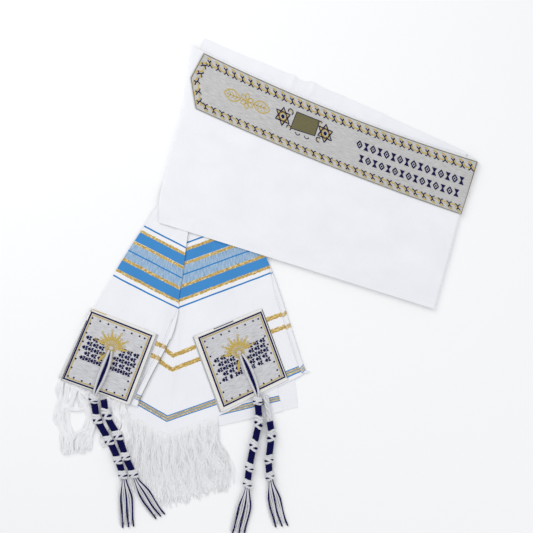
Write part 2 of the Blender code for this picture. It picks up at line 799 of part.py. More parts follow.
def main():
    clear_scene()
    parts = collection_for_parts()

    # Layers from the table up
    body_under = Slab([Section(*s[:4]) for s in BODY_SECTIONS], 0.0, CLOTH)
    core = Slab(CORE_SECTIONS, CORE_FLOOR, CORE_TOP - CORE_FLOOR)
    rear = rear_layer([body_under])
    under_right = Layer(UNDER_RIGHT_SECTIONS, CLOTH, [body_under])
    right_leg = Layer(
        RIGHT_LEG_SECTIONS, CLOTH, [under_right, body_under], PLEAT_RIDGES, [0.0, 0.25, 1.0]
    )
    left_under = Layer(LEFT_UNDER_SECTIONS, CLOTH, [right_leg, body_under])
    patch_under = patch_layer(PATCH_UNDER, [left_under])
    left_leg = Layer(
        LEFT_LEG_SECTIONS, CLOTH, [patch_under, left_under, right_leg, body_under], LEFT_LEG_RIDGES
    )
    patch_left = patch_layer(PATCH_LEFT, [left_leg])
    patch_right = patch_layer(PATCH_RIGHT, [right_leg])
    body = Body([core, left_leg, left_under, right_leg, under_right, body_under])

    # The cloth
    make_body(parts, body)
    make_core(parts, core)
    cloth_wall(parts, "rear_layer", rear, 4, 20)
    cloth_wall(parts, "right_end_under", under_right, 8, 16)
    cloth_wall(parts, "right_end", right_leg, 12, RIGHT_END_ROWS)
    cloth_wall(parts, "left_end_under", left_under, 7, 18)
    cloth_wall(parts, "left_end", left_leg, 10, LEFT_END_ROWS)

    # What is sewn on
    make_neckband(parts, body)
    cloth_wall(parts, "patch_left_under", patch_under, 6, 6, "silver_weave")
    cloth_wall(parts, "patch_left", patch_left, 8, 8, "silver_weave")
    cloth_wall(parts, "patch_right", patch_right, 8, 8, "silver_weave")
    make_hem(parts, "hem_left", left_leg, LEFT_HEM_START, LEFT_END_ROWS, LEFT_HEM_WIDTH)
    make_hem(parts, "hem_right", right_leg, RIGHT_HEM_START, RIGHT_END_ROWS, RIGHT_HEM_WIDTH)

    # Fringe and tassels
    make_left_fringe(parts)
    make_right_fringe(parts, right_leg, under_right)

    def over_left(x, y):
        return max(FRINGE_LEVEL, resting_height(x, y, [patch_left, left_leg]))

    def over_right(x, y):
        return resting_height(x, y, [patch_right, right_leg, under_right])

    def beside_left(x, y):
        return FRINGE_LEVEL

    def beside_right(x, y):
        return resting_height(x, y, [right_leg, under_right])

    make_tassel(
        parts, "tassel_left_upper", LEFT_UPPER_PATH, LEFT_UPPER_WRAPS, over_left, 0.1, 74.0, -4.0
    )
    make_tassel(
        parts, "tassel_left_lower", LEFT_LOWER_PATH, LEFT_LOWER_WRAPS, beside_left, 0.0, 70.0, 5.0
    )
    make_tassel(
        parts, "tassel_right_upper", RIGHT_UPPER_PATH, RIGHT_UPPER_WRAPS, over_right, 0.2, 72.0, -7.0
    )
    make_tassel(
        parts, "tassel_right_lower", RIGHT_LOWER_PATH, RIGHT_LOWER_WRAPS, beside_right, 0.2, 72.0, 6.0
    )


main()
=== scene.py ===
# %% [markdown]
# # A folded prayer shawl
# A prayer shawl is one long length of woven cloth, striped and fringed at both ends, with a neckband, corner
# patches and a knotted tassel at each corner. Here it lies folded on a table, seen from straight above.
# Each cell builds one piece or one finish. The plan's tables are in millimetres, and meshes are in metres.

# %% Set up and load the plain solids
import math
from collections import namedtuple

import bmesh
import bpy
import numpy as np
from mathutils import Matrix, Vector


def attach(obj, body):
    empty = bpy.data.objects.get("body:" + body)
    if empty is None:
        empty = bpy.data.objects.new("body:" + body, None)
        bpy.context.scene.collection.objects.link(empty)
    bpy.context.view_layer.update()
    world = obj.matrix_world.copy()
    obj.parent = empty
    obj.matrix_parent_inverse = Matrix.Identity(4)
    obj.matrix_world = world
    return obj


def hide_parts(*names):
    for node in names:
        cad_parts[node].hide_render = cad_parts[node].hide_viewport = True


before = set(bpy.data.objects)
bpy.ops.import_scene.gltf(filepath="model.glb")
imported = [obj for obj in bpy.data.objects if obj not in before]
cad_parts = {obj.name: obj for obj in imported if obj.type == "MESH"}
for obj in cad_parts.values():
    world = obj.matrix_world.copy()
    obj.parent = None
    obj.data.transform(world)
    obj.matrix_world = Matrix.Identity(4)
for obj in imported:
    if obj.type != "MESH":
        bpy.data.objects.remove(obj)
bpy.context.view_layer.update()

MM = 0.001

# %% [markdown]
# ## Camera, table and light
# Cloth laid flat is photographed from straight above. A long lens keeps the far corners from leaning.
# White cloth on a white table shows only by soft shading, so the light is a broad panel to the upper left, a
# weaker one to the lower right and a bright, even surround.

# %% Camera, table and light
FRAME_MM = 773.0
FRAME_CENTRE = (-48.6, -96.4)
LENS_MM = 85.0
SENSOR_MM = 36.0
TABLE_METRES = 6.0
TABLE_WHITE = (0.955, 0.955, 0.955, 1)
LIGHT_AIM = Vector((-0.05, -0.1, 0))
SURROUND_COLOUR = (0.96, 0.97, 1.0, 1)
SURROUND_STRENGTH = 0.65


def metres(x, y, z=0.0):
    """A point in metres from millimetres."""
    return Vector((x * MM, y * MM, z * MM))


def add_object(name, data):
    """A new object, placed in the scene."""
    made = bpy.data.objects.new(name, data)
    bpy.context.scene.collection.objects.link(made)
    return made


camera_data = bpy.data.cameras.new("overhead_camera")
camera_data.lens = LENS_MM
camera_data.sensor_width = SENSOR_MM
camera = add_object("overhead_camera", camera_data)
camera.location = metres(*FRAME_CENTRE, FRAME_MM * LENS_MM / SENSOR_MM)
bpy.context.scene.camera = camera

bpy.ops.mesh.primitive_plane_add(size=TABLE_METRES)
table = bpy.context.object
table.name = "table_top"
table_paint = bpy.data.materials.new("table_paint")
table_paint.use_nodes = True
table_shader = table_paint.node_tree.nodes["Principled BSDF"]
table_shader.inputs["Base Color"].default_value = TABLE_WHITE
table_shader.inputs["Roughness"].default_value = 0.9
table_shader.inputs["Specular IOR Level"].default_value = 0.1
table.data.materials.append(table_paint)

LightRow = namedtuple("LightRow", "name x y z size watts")
LIGHT_ROWS = [
    LightRow("softbox_upper_left", -0.9, 0.9, 1.2, 1.2, 13.0),
    LightRow("softbox_lower_right", 1.1, -0.9, 1.5, 1.6, 8.5),
]
for row in LIGHT_ROWS:
    lamp_data = bpy.data.lights.new(row.name, "AREA")
    lamp_data.size = row.size
    lamp_data.energy = row.watts
    lamp = add_object(row.name, lamp_data)
    lamp.location = (row.x, row.y, row.z)
    lamp.rotation_euler = (LIGHT_AIM - lamp.location).to_track_quat("-Z", "Y").to_euler()

surround = bpy.data.worlds.new("studio_surround")
surround.use_nodes = True
background = surround.node_tree.nodes["Background"]
background.inputs["Color"].default_value = SURROUND_COLOUR
background.inputs["Strength"].default_value = SURROUND_STRENGTH
bpy.context.scene.world = surround
bpy.context.scene.view_settings.view_transform = "Standard"
print("camera height, m:", round(camera.location.z, 3))

# %% [markdown]
# ## How folded cloth stacks
# Each sheet lies on those below it. Just past the edge of a lower sheet, the cloth above slopes down to what
# comes next. The height of a sheet's underside is therefore worked out from the sheets under it: the
# highest of them, each fading out past its own outline, plus the soft creases of the sheet itself.

# %% Curves and distances
def along_spline(rows, t):
    """Points on a smooth curve through evenly timed rows, at each share in t."""
    rows = np.asarray(rows, float)
    t = np.asarray(t, float)
    spans = len(rows) - 1
    i = np.clip((t * spans).astype(int), 0, spans - 1)
    f = (t * spans - i)[..., None]
    padded = np.vstack([2 * rows[0] - rows[1], rows, 2 * rows[-1] - rows[-2]])
    a, b, c, d = (padded[i + k] for k in range(4))
    return b + 0.5 * f * (c - a + f * (2 * a - 5 * b + 4 * c - d + f * (3 * (b - c) + d - a)))


def smooth_step(value):
    """0 below 0, 1 above 1, and an S-curve between."""
    t = np.clip(value, 0.0, 1.0)
    return t * t * (3 - 2 * t)


def unit(vectors):
    """Vectors, along the last axis, scaled to a length of 1."""
    return vectors / np.linalg.norm(vectors, axis=-1)[..., None]


def sideways(way):
    """Plan directions turned by a quarter."""
    return np.stack([-way[..., 1], way[..., 0]], axis=-1)


def running_length(line):
    """The length along a line of points, up to each of them."""
    return np.concatenate([[0], np.cumsum(np.linalg.norm(np.diff(line, axis=0), axis=1))])


def distance_outside(spots, outline):
    """How far plan points lie outside a closed outline; negative inside."""
    x, y = spots[:, 0], spots[:, 1]
    nearest = np.full(len(spots), 1e9)
    inside = np.zeros(len(spots), bool)
    for (ax, ay), (bx, by) in zip(outline, np.roll(outline, -1, axis=0)):
        ex, ey = bx - ax, by - ay
        share = np.clip(((x - ax) * ex + (y - ay) * ey) / max(ex * ex + ey * ey, 1e-9), 0, 1)
        nearest = np.minimum(nearest, np.hypot(x - ax - share * ex, y - ay - share * ey))
        if ay != by:
            inside ^= ((ay > y) != (by > y)) & (x < ax + (y - ay) * ex / ey)
    return np.where(inside, -nearest, nearest)


# %% Creases
Crease = namedtuple("Crease", "start_x start_y end_x end_y width height")


def crease_height(spots, creases):
    """The lift that soft folds give the cloth at plan points."""
    lift = np.zeros(len(spots))
    for crease in creases:
        ex, ey = crease.end_x - crease.start_x, crease.end_y - crease.start_y
        length = math.hypot(ex, ey)
        dx, dy = spots[:, 0] - crease.start_x, spots[:, 1] - crease.start_y
        along = (dx * ex + dy * ey) / length
        across = (dx * ey - dy * ex) / length
        taper = smooth_step(along / (0.3 * length)) * smooth_step((length - along) / (0.3 * length))
        lift += crease.height * taper * np.exp(-((across / crease.width) ** 2))
    return lift


# %% A sheet among others
CLOTH = 1.0
LIFT = 0.45
HOLD = 3.0
RAMP = 18.0
EDGE_POINTS = 15
THIN_WALL = 0.12


class Sheet:
    """A sheet's plan, its wall, the sheets that it lies on and its creases."""

    def __init__(
        self, sections, supports=(), creases=(), shares=(0.0, 1.0), bridge=0.0, floor=None, wall=CLOTH
    ):
        self.sections = np.asarray(sections, float)
        self.supports = list(supports)
        self.creases = creases
        self.shares = shares
        self.bridge = bridge
        self.floor = floor
        self.wall = wall
        steps = np.linspace(0, 1, EDGE_POINTS)
        self.outline = np.vstack(
            [self.points(np.zeros(EDGE_POINTS), steps)]
            + [self.points(np.array([share]), np.array([1.0])) for share in shares[1:-1]]
            + [self.points(np.ones(EDGE_POINTS), steps[::-1])]
            + [self.points(np.array([share]), np.array([0.0])) for share in shares[-2:0:-1]]
        )

    def across(self, values, u):
        """The value at share u across, between the stations' columns."""
        result = values[:, 0]
        for k in range(len(self.shares) - 1):
            low, high = self.shares[k], self.shares[k + 1]
            f = np.clip((u - low) / (high - low), 0, 1)
            result = np.where(u >= low, values[:, k] + f * (values[:, k + 1] - values[:, k]), result)
        return result

    def points(self, u, t):
        """Plan points at shares u across and t along."""
        rows = along_spline(self.sections, t)
        return np.stack([self.across(rows[:, 0::2], u), self.across(rows[:, 1::2], u)], axis=1)

    def underside(self, spots):
        """Heights of the lower face."""
        if self.floor is not None:
            return np.full(len(spots), self.floor)
        height = resting_height(spots, self.supports)
        if self.bridge:
            for dx, dy in ((1, 0), (-1, 0), (0, 1), (0, -1)):
                moved = spots + np.array([dx, dy]) * self.bridge
                height = np.maximum(height, resting_height(moved, self.supports))
        return height + crease_height(spots, self.creases)

    def top(self, spots):
        """Heights of the upper face."""
        return self.underside(spots) + self.wall


def resting_height(spots, supports):
    """Where cloth lies at plan points: just above the sheets under it, or on the table."""
    height = np.zeros(len(spots))
    for sheet in supports:
        outside = distance_outside(spots, sheet.outline)
        near = outside < HOLD + RAMP
        if near.any():
            share = 1 - smooth_step((outside[near] - HOLD) / RAMP)
            height[near] = np.maximum(height[near], share * (sheet.top(spots[near]) + LIFT))
    return height


# %% [markdown]
# ## The shawl's plan
# These tables give each sheet's outline as rows from left to right. The last columns of the two ends are
# distances along the cloth from its fringed edge, so that the stripes run with the weave and bend at the
# crease.

# %% The plan's tables
BodyRow = namedtuple("BodyRow", "left_x left_y right_x right_y sag curl")
BODY_ROWS = [
    BodyRow(-157, 223, 257, 57, 9.4, 165),
    BodyRow(-169, 141, 232, -20, 6.0, 165),
    BodyRow(-183, 90, 220, -67, 3.5, 165),
    BodyRow(-197, 36, 207, -113, 1.5, 150),
    BodyRow(-207, -9, 198, -146, 0.0, 20),
    BodyRow(-207, -32, 194, -158, 0.0, 20),
]
FlatRow = namedtuple("FlatRow", "left_x left_y right_x right_y left_run right_run")
RIGHT_UNDER_ROWS = [
    FlatRow(-148, -35, -64, -46, 294, 259),
    FlatRow(-141, -145, -36, -152, 184, 150),
    FlatRow(-128, -246, -10, -249, 82, 49),
    FlatRow(-119, -328, -3, -300, 0, -2),
]
RIGHT_FOLD_ROWS = [
    FlatRow(-147, -36, -68, -46, 293, 259),
    FlatRow(-140, -145, -50, -152, 184, 152),
    FlatRow(-127.2, -246, -37, -252, 82, 55),
    FlatRow(-118.2, -327.6, -25, -305.8, 0, -1),
]
LEFT_UNDER_ROWS = [
    FlatRow(-174, 6, -157, -26, 304, 290),
    FlatRow(-235, -54, -177, -90, 223, 220),
    FlatRow(-299, -157, -206, -188, 108, 112),
    FlatRow(-321, -194, -229, -232, 68, 63),
    FlatRow(-352, -258, -261, -291, 0, 0),
]
LEFT_END_ROWS = [
    FlatRow(-186, 23, -157, -14, 322, 302),
    FlatRow(-207, -9, -162, -46, 283.1, 270.9),
    FlatRow(-233, -49, -166, -75, 234.8, 242.7),
    FlatRow(-257, -86, -170, -109, 190.1, 209.8),
    FlatRow(-277, -120, -175, -139, 151, 180.6),
    FlatRow(-296, -152, -176, -162, 115.6, 158),
    FlatRow(-309, -181, -183, -191, 85.3, 126.6),
    FlatRow(-322, -210, -196, -220, 55, 94.3),
    FlatRow(-335, -238, -213, -252, 25.5, 59),
    FlatRow(-347, -262, -236, -299, 0, 5.5),
]
CreasedRow = namedtuple(
    "CreasedRow", "left_x left_y crease_x crease_y right_x right_y left_run crease_run right_run"
)
RIGHT_END_SHARES = (0.0, 0.25, 0.52, 1.0)
RIGHT_END_ROWS = [
    CreasedRow(-168, -32, -160, -35, -80, -7, 271.5, 272.3, 273),
    CreasedRow(-177, -90, -167, -84, -58, -62, 217.8, 228.1, 211.8),
    CreasedRow(-188, -145, -175, -149, -33, -123, 166.4, 169.6, 143.3),
    CreasedRow(-210, -196, -183, -220, -9, -196, 110.4, 105.6, 66.3),
    CreasedRow(-232, -246, -188, -273, 7, -244, 57.7, 57.8, 16.8),
    CreasedRow(-251, -307, -195, -338, 14, -270, 0, 0, 0),
]
RIGHT_CORNER = (14, -248, 14)


def with_fourth_column(rows):
    """Adds a point at the third share to each row, then turns the last row's right end up under the patch."""
    part = (RIGHT_END_SHARES[2] - RIGHT_END_SHARES[1]) / (RIGHT_END_SHARES[3] - RIGHT_END_SHARES[1])
    plan, runs = [], []
    for row in rows:
        pairs = (row.crease_x, row.right_x), (row.crease_y, row.right_y), (row.crease_run, row.right_run)
        x, y, run = (crease * (1 - part) + right * part for crease, right in pairs)
        plan.append([row.left_x, row.left_y, row.crease_x, row.crease_y, x, y, row.right_x, row.right_y])
        runs.append([row.left_run, row.crease_run, run, row.right_run])
    plan[-1][6:8] = RIGHT_CORNER[:2]
    runs[-1][3] = RIGHT_CORNER[2]
    return plan, runs


RIGHT_END_PLAN, RIGHT_END_RUNS = with_fourth_column(RIGHT_END_ROWS)
RearRow = namedtuple("RearRow", "x y")
REAR_ROWS = [
    RearRow(-138, 235), RearRow(-87, 212), RearRow(-40, 193), RearRow(-8, 179), RearRow(4, 172),
    RearRow(18, 171), RearRow(40, 160), RearRow(84, 141), RearRow(141, 114), RearRow(199, 88),
    RearRow(242, 68),
]
CORE_ROWS = [
    (-143, 211, 48, 128, 242, 53),
    (-154, 141, 32, 54, 222, -22),
    (-168, 90, 19, 8, 211, -66),
    (-160, 40, 18, -36, 199, -110),
    (-60, -30, 65, -88, 191, -144),
    (-38, -80, 74, -116, 188, -150),
]
CORE_FLOOR = 2 * (CLOTH + LIFT)
CORE_TOP = 5.2
PATCH_LEFT = [(-302, -157), (-208, -194), (-247, -296), (-346, -261)]
PATCH_UNDER = [(-311, -178), (-218, -210), (-258, -290), (-349, -257)]
PATCH_RIGHT = [(-154, -198), (-55, -157), (-17, -260), (-114, -307)]

# %% Creases in each sheet
BODY_CREASES = [
    Crease(-152, 112, -52, 62, 11, 1.5),
    Crease(-186, 34, -78, -34, 14, 1.3),
    Crease(12, 42, 148, -22, 13, 1.6),
    Crease(60, -98, 176, -96, 12, 1.2),
    Crease(-150, 70, -96, 30, 7, 0.6),
    Crease(-60, 20, 10, -40, 8, 0.5),
    Crease(-168, 100, -120, 92, 5, 0.5),
    Crease(96, 30, 206, -50, 6, 0.5),
    Crease(-100, -10, -40, -60, 6, 0.5),
]
REAR_CREASES = [
    Crease(-6, 186, -16, 158, 5, 1.6),
    Crease(22, 176, 14, 148, 5, 1.4),
    Crease(122, 130, 112, 110, 7, 1.0),
    Crease(-60, 204, -54, 178, 6, 0.7),
    Crease(60, 156, 52, 134, 4, 0.6),
]
PLEAT_CREASES = [
    Crease(-160, -35, -195, -345, 5, 1.7),
    Crease(-150, -130, -60, -118, 9, 0.5),
    Crease(-170, -200, -120, -190, 8, 0.4),
    Crease(-178, -300, -130, -290, 9, 0.5),
]
LEFT_CREASES = [
    Crease(-232, -60, -250, -150, 12, 1.0),
    Crease(-205, -60, -215, -140, 8, 0.5),
]

# %% The stack of sheets
def plan_of(rows):
    """The plan points of a table's rows."""
    return [row[:4] for row in rows]


def runs_of(rows):
    """The distances along the cloth of a table's rows."""
    return [row[4:] for row in rows]


body_under = Sheet(plan_of(BODY_ROWS), floor=0.0)
core = Sheet(CORE_ROWS, floor=CORE_FLOOR, wall=CORE_TOP - CORE_FLOOR, shares=(0.0, 0.5, 1.0))
REAR_DEPTH = 45.0
REAR_INWARD = np.array([-0.396, -0.918]) * REAR_DEPTH
rear = Sheet(
    [(row.x, row.y, row.x + REAR_INWARD[0], row.y + REAR_INWARD[1]) for row in REAR_ROWS],
    [body_under],
    REAR_CREASES,
)
right_under = Sheet(plan_of(RIGHT_UNDER_ROWS), [body_under])
right_fold = Sheet(plan_of(RIGHT_FOLD_ROWS), [right_under], bridge=2.0, wall=THIN_WALL)
right_end = Sheet(RIGHT_END_PLAN, [right_under, body_under], PLEAT_CREASES, RIGHT_END_SHARES)
left_under = Sheet(plan_of(LEFT_UNDER_ROWS), [right_end, body_under])


def patch_sheet(corners, supports):
    """A sewn patch as a sheet with two rows."""
    top_left, top_right, bottom_right, bottom_left = corners
    return Sheet([(*top_left, *top_right), (*bottom_left, *bottom_right)], supports, bridge=4.0)


patch_under = patch_sheet(PATCH_UNDER, [left_under])
left_end = Sheet(plan_of(LEFT_END_ROWS), [patch_under, left_under, right_end, body_under], LEFT_CREASES)
patch_left = patch_sheet(PATCH_LEFT, [left_end])
patch_right = patch_sheet(PATCH_RIGHT, [right_end])
print("left patch's top, mm:", round(float(patch_left.top(np.array([[-270.0, -225.0]]))[0]), 2))

# %% [markdown]
# ## Finishes
# Materials are built from nodes. Two effects serve several of them, so each is a node group: the woven
# ground, which gives a height and a shade from the cloth's own threads, and the speckle of flat metal
# thread, whose pale flecks are painted reflections. Patterns read each piece's own map, in metres along
# and across the cloth.

# %% Node helpers
def link_value(tree, value, socket):
    """Joins an output, or sets a plain value."""
    if isinstance(value, bpy.types.NodeSocket):
        tree.links.new(value, socket)
    else:
        socket.default_value = value


def math_node(tree, operation, *values):
    """A Math node's output."""
    node = tree.nodes.new("ShaderNodeMath")
    node.operation = operation
    for socket, value in zip(node.inputs, values):
        link_value(tree, value, socket)
    return node.outputs[0]


def mix_colour(tree, share, low, high):
    """A colour between two."""
    node = tree.nodes.new("ShaderNodeMix")
    node.data_type = "RGBA"
    link_value(tree, share, node.inputs["Factor"])
    for socket, value in ((node.inputs[6], low), (node.inputs[7], high)):
        link_value(tree, value if isinstance(value, bpy.types.NodeSocket) else (*value, 1.0), socket)
    return node.outputs[2]


def noise_node(tree, vector, scale, detail=2.0):
    """A Noise Texture's value."""
    node = tree.nodes.new("ShaderNodeTexNoise")
    tree.links.new(vector, node.inputs["Vector"])
    node.inputs["Scale"].default_value = scale
    node.inputs["Detail"].default_value = detail
    return node.outputs["Fac"]


def stretched(tree, vector, across, along):
    """Coordinates scaled apart, for streaks."""
    node = tree.nodes.new("ShaderNodeMapping")
    tree.links.new(vector, node.inputs["Vector"])
    node.inputs["Scale"].default_value = (across, along, 1.0)
    return node.outputs["Vector"]


def remap(tree, value, low, high, out_low=0.0, out_high=1.0):
    """A Map Range node's output."""
    node = tree.nodes.new("ShaderNodeMapRange")
    for socket, item in zip(node.inputs, (value, low, high, out_low, out_high)):
        link_value(tree, item, socket)
    return node.outputs["Result"]


def new_group(name, inputs, outputs, kind="ShaderNodeTree"):
    """A node group with named sockets, and its two ends."""
    tree = bpy.data.node_groups.new(name, kind)
    for way, sockets in (("INPUT", inputs), ("OUTPUT", outputs)):
        for label, socket_type in sockets:
            tree.interface.new_socket(label, in_out=way, socket_type=socket_type)
    return tree, tree.nodes.new("NodeGroupInput"), tree.nodes.new("NodeGroupOutput")


def use_group(tree, group, **values):
    """Places a group in a material, with spaces in socket names written as _."""
    node = tree.nodes.new("ShaderNodeGroup")
    node.node_tree = group
    for label, value in values.items():
        link_value(tree, value, node.inputs[label.replace("_", " ")])
    return node.outputs


# %% The woven ground, as a node group
weave_group, ends_in, ends_out = new_group(
    "woven_ground",
    [("Map", "NodeSocketVector"), ("Threads", "NodeSocketFloat")],
    [("Height", "NodeSocketFloat"), ("Shade", "NodeSocketFloat")],
)
waves = []
for axis in ("X", "Y"):
    wave = weave_group.nodes.new("ShaderNodeTexWave")
    wave.bands_direction = axis
    wave.inputs["Distortion"].default_value = 0.6
    wave.inputs["Detail"].default_value = 1.0
    weave_group.links.new(ends_in.outputs["Map"], wave.inputs["Vector"])
    weave_group.links.new(ends_in.outputs["Threads"], wave.inputs["Scale"])
    waves.append(wave.outputs["Fac"])
height = math_node(weave_group, "MULTIPLY", waves[0], waves[1])
slub = noise_node(weave_group, stretched(weave_group, ends_in.outputs["Map"], 900, 60), 1.0)
height = math_node(weave_group, "ADD", height, math_node(weave_group, "MULTIPLY", slub, 0.5))
weave_group.links.new(height, ends_out.inputs["Height"])
cloud = noise_node(weave_group, ends_in.outputs["Map"], 22.0)
shade = math_node(weave_group, "ADD", math_node(weave_group, "MULTIPLY", slub, 0.5), cloud)
weave_group.links.new(remap(weave_group, shade, 0.4, 1.1), ends_out.inputs["Shade"])

# %% The flat metal thread, as a node group
metal_group, metal_in, metal_out = new_group(
    "metal_thread",
    [("Map", "NodeSocketVector")],
    [("Color", "NodeSocketColor"), ("Glint", "NodeSocketFloat")],
)
# The pale patches and the palest flecks are painted reflections of the flat metal thread; the deeper gold is
# its own colour.
fine = noise_node(metal_group, stretched(metal_group, metal_in.outputs["Map"], 700, 1500), 1.0, 1.0)
patchy = noise_node(metal_group, stretched(metal_group, metal_in.outputs["Map"], 230, 420), 1.0, 1.0)
gold = mix_colour(metal_group, remap(metal_group, patchy, 0.36, 0.6), (0.4, 0.24, 0.04), (0.62, 0.42, 0.1))
gold = mix_colour(metal_group, remap(metal_group, patchy, 0.58, 0.7), gold, (0.83, 0.7, 0.36))
gold = mix_colour(metal_group, remap(metal_group, fine, 0.58, 0.7), gold, (0.9, 0.82, 0.55))
metal_group.links.new(gold, metal_out.inputs["Color"])
metal_group.links.new(remap(metal_group, fine, 0.4, 0.7), metal_out.inputs["Glint"])

# %% [markdown]
# ## Striped white cloth
# The stripes are woven in, so their edges follow the weft. One short table holds them: distance from the
# fringed edge, width and yarn. Each row becomes one Compare node on the map's second coordinate.

# %% The stripes
Stripe = namedtuple("Stripe", "centre width yarn")
STRIPES = [
    Stripe(15.2, 1.5, "deep_blue"),
    Stripe(16.9, 1.5, "gold"),
    Stripe(18.7, 1.7, "grey_blue"),
    Stripe(20.5, 1.5, "gold"),
    Stripe(22.2, 1.5, "deep_blue"),
    Stripe(82.4, 6.2, "gold"),
    Stripe(100.9, 6.2, "gold"),
    Stripe(163.4, 2.3, "deep_blue"),
    Stripe(172.4, 4.2, "gold"),
    Stripe(181.6, 14.4, "blue"),
    Stripe(191.0, 4.4, "gold"),
    Stripe(199.3, 12.4, "pale_blue"),
    Stripe(205.8, 1.9, "deep_blue"),
    Stripe(212.3, 12.0, "pale_blue"),
    Stripe(220.3, 4.2, "gold"),
    Stripe(230.1, 14.6, "blue"),
    Stripe(239.4, 4.2, "gold"),
    Stripe(248.2, 2.3, "deep_blue"),
]
WIDE_STRIPE = 3.0
YARNS = {
    "blue": (0.055, 0.27, 0.62),
    "deep_blue": (0.02, 0.22, 0.56),
    "grey_blue": (0.2, 0.3, 0.35),
    "pale_blue": (0.22, 0.37, 0.55),
}
WHITE_COTTON = (0.895, 0.9, 0.92)
WHITE_SHADE = (0.83, 0.84, 0.87)


def plain_material(name, roughness, sheen=0.0, metallic=0.0):
    """A material's tree, its shader, and its map in metres."""
    material = bpy.data.materials.new(name)
    material.use_nodes = True
    tree = material.node_tree
    shader = tree.nodes["Principled BSDF"]
    shader.inputs["Roughness"].default_value = roughness
    shader.inputs["Sheen Weight"].default_value = sheen
    shader.inputs["Sheen Roughness"].default_value = 0.5
    shader.inputs["Metallic"].default_value = metallic
    shader.inputs["Specular IOR Level"].default_value = 0.25
    own_map = tree.nodes.new("ShaderNodeUVMap")
    own_map.uv_map = "cloth_map"
    return material, tree, shader, own_map.outputs["UV"]


def add_bump(tree, shader, height, strength, distance):
    """Feeds a height to the shader's normal."""
    bump = tree.nodes.new("ShaderNodeBump")
    bump.inputs["Strength"].default_value = strength
    bump.inputs["Distance"].default_value = distance
    link_value(tree, height, bump.inputs["Height"])
    tree.links.new(bump.outputs["Normal"], shader.inputs["Normal"])


def woven_material(name, stripe_strength):
    """White cotton cloth, whose stripes show by stripe_strength: 0 for none, 1 on the right side."""
    material, tree, shader, place = plain_material(name, 0.88, sheen=0.15)
    ground = use_group(tree, weave_group, Map=place, Threads=420.0)
    white = colour = mix_colour(tree, ground["Shade"], WHITE_SHADE, WHITE_COTTON)
    if stripe_strength > 0:
        split = tree.nodes.new("ShaderNodeSeparateXYZ")
        tree.links.new(place, split.inputs["Vector"])
        sway = math_node(tree, "SUBTRACT", noise_node(tree, place, 35.0), 0.5)
        run = math_node(tree, "ADD", split.outputs["Y"], math_node(tree, "MULTIPLY", sway, 0.0012))
        fray = math_node(tree, "SUBTRACT", noise_node(tree, stretched(tree, place, 420, 90), 1.0), 0.5)
        ragged = math_node(tree, "ADD", run, math_node(tree, "MULTIPLY", fray, 0.0034))
        metal = use_group(tree, metal_group, Map=place)
        streaks = noise_node(tree, stretched(tree, place, 700, 90), 1.0)
        slubbed = mix_colour(tree, remap(tree, streaks, 0.36, 0.66), YARNS["pale_blue"], (0.42, 0.55, 0.7))
        for yarn in ("pale_blue", "blue", "deep_blue", "grey_blue", "gold"):
            masks = []
            for row in [stripe for stripe in STRIPES if stripe.yarn == yarn]:
                edge = ragged if yarn == "gold" and row.width > WIDE_STRIPE else run
                masks.append(math_node(tree, "COMPARE", edge, row.centre * MM, row.width * MM / 2))
            mask = masks[0]
            for other in masks[1:]:
                mask = math_node(tree, "MAXIMUM", mask, other)
            # Gold stripes take the metal thread's colour, with its painted reflections.
            if yarn == "gold":
                colour = mix_colour(tree, mask, colour, metal["Color"])
                shine = math_node(tree, "MULTIPLY", mask, math_node(tree, "MULTIPLY", metal["Glint"], 0.5))
                tree.links.new(shine, shader.inputs["Metallic"])
                tree.links.new(remap(tree, mask, 0.0, 1.0, 0.88, 0.42), shader.inputs["Roughness"])
            elif yarn == "pale_blue":
                colour = mix_colour(tree, mask, colour, slubbed)
            else:
                tone = mix_colour(tree, ground["Shade"], tuple(0.88 * c for c in YARNS[yarn]), YARNS[yarn])
                colour = mix_colour(tree, mask, colour, tone)
        colour = mix_colour(tree, stripe_strength, white, colour)
    tree.links.new(colour, shader.inputs["Base Color"])
    add_bump(tree, shader, ground["Height"], 0.35, 0.0002)
    return material


white_cloth = woven_material("white_woven_cloth", 0.0)
striped_cloth = woven_material("striped_woven_cloth", 1.0)
hem_cloth = woven_material("turned_hem_cloth", 0.85)
print("stripes:", len(STRIPES), "in", len({row.yarn for row in STRIPES}), "yarns")

# %% [markdown]
# ## Silver-grey woven band
# The neckband and the patches are a jacquard with a silver weft, which shows as fine streaks along the band.

# %% Silver weave, embroidery and cord finishes
def silver_material(name, dark, light):
    """Grey brocade with streaks along its length."""
    material, tree, shader, place = plain_material(name, 0.5, sheen=0.1)
    ground = use_group(tree, weave_group, Map=place, Threads=620.0)
    streaks = noise_node(tree, stretched(tree, place, 90, 1400), 1.0)
    colour = mix_colour(tree, remap(tree, streaks, 0.3, 0.7), dark, light)
    colour = mix_colour(tree, math_node(tree, "MULTIPLY", ground["Shade"], 0.35), colour, light)
    tree.links.new(colour, shader.inputs["Base Color"])
    tree.links.new(remap(tree, streaks, 0.3, 0.7, 0.0, 0.3), shader.inputs["Metallic"])
    height = math_node(tree, "ADD", ground["Height"], math_node(tree, "MULTIPLY", streaks, 0.8))
    add_bump(tree, shader, height, 0.4, 0.0002)
    return material


def embroidery_material(name, dark, light, metallic=0.0, roughness=0.6, specular=0.3):
    """Raised woven thread, streaked across the stroke."""
    material = bpy.data.materials.new(name)
    material.use_nodes = True
    tree = material.node_tree
    shader = tree.nodes["Principled BSDF"]
    shader.inputs["Roughness"].default_value = roughness
    shader.inputs["Metallic"].default_value = metallic
    shader.inputs["Specular IOR Level"].default_value = specular
    place = tree.nodes.new("ShaderNodeTexCoord").outputs["Object"]
    streaks = noise_node(tree, stretched(tree, place, 2600, 900), 1.0)
    colour = mix_colour(tree, remap(tree, streaks, 0.35, 0.65), dark, light)
    tree.links.new(colour, shader.inputs["Base Color"])
    add_bump(tree, shader, streaks, 0.5, 0.0001)
    return material


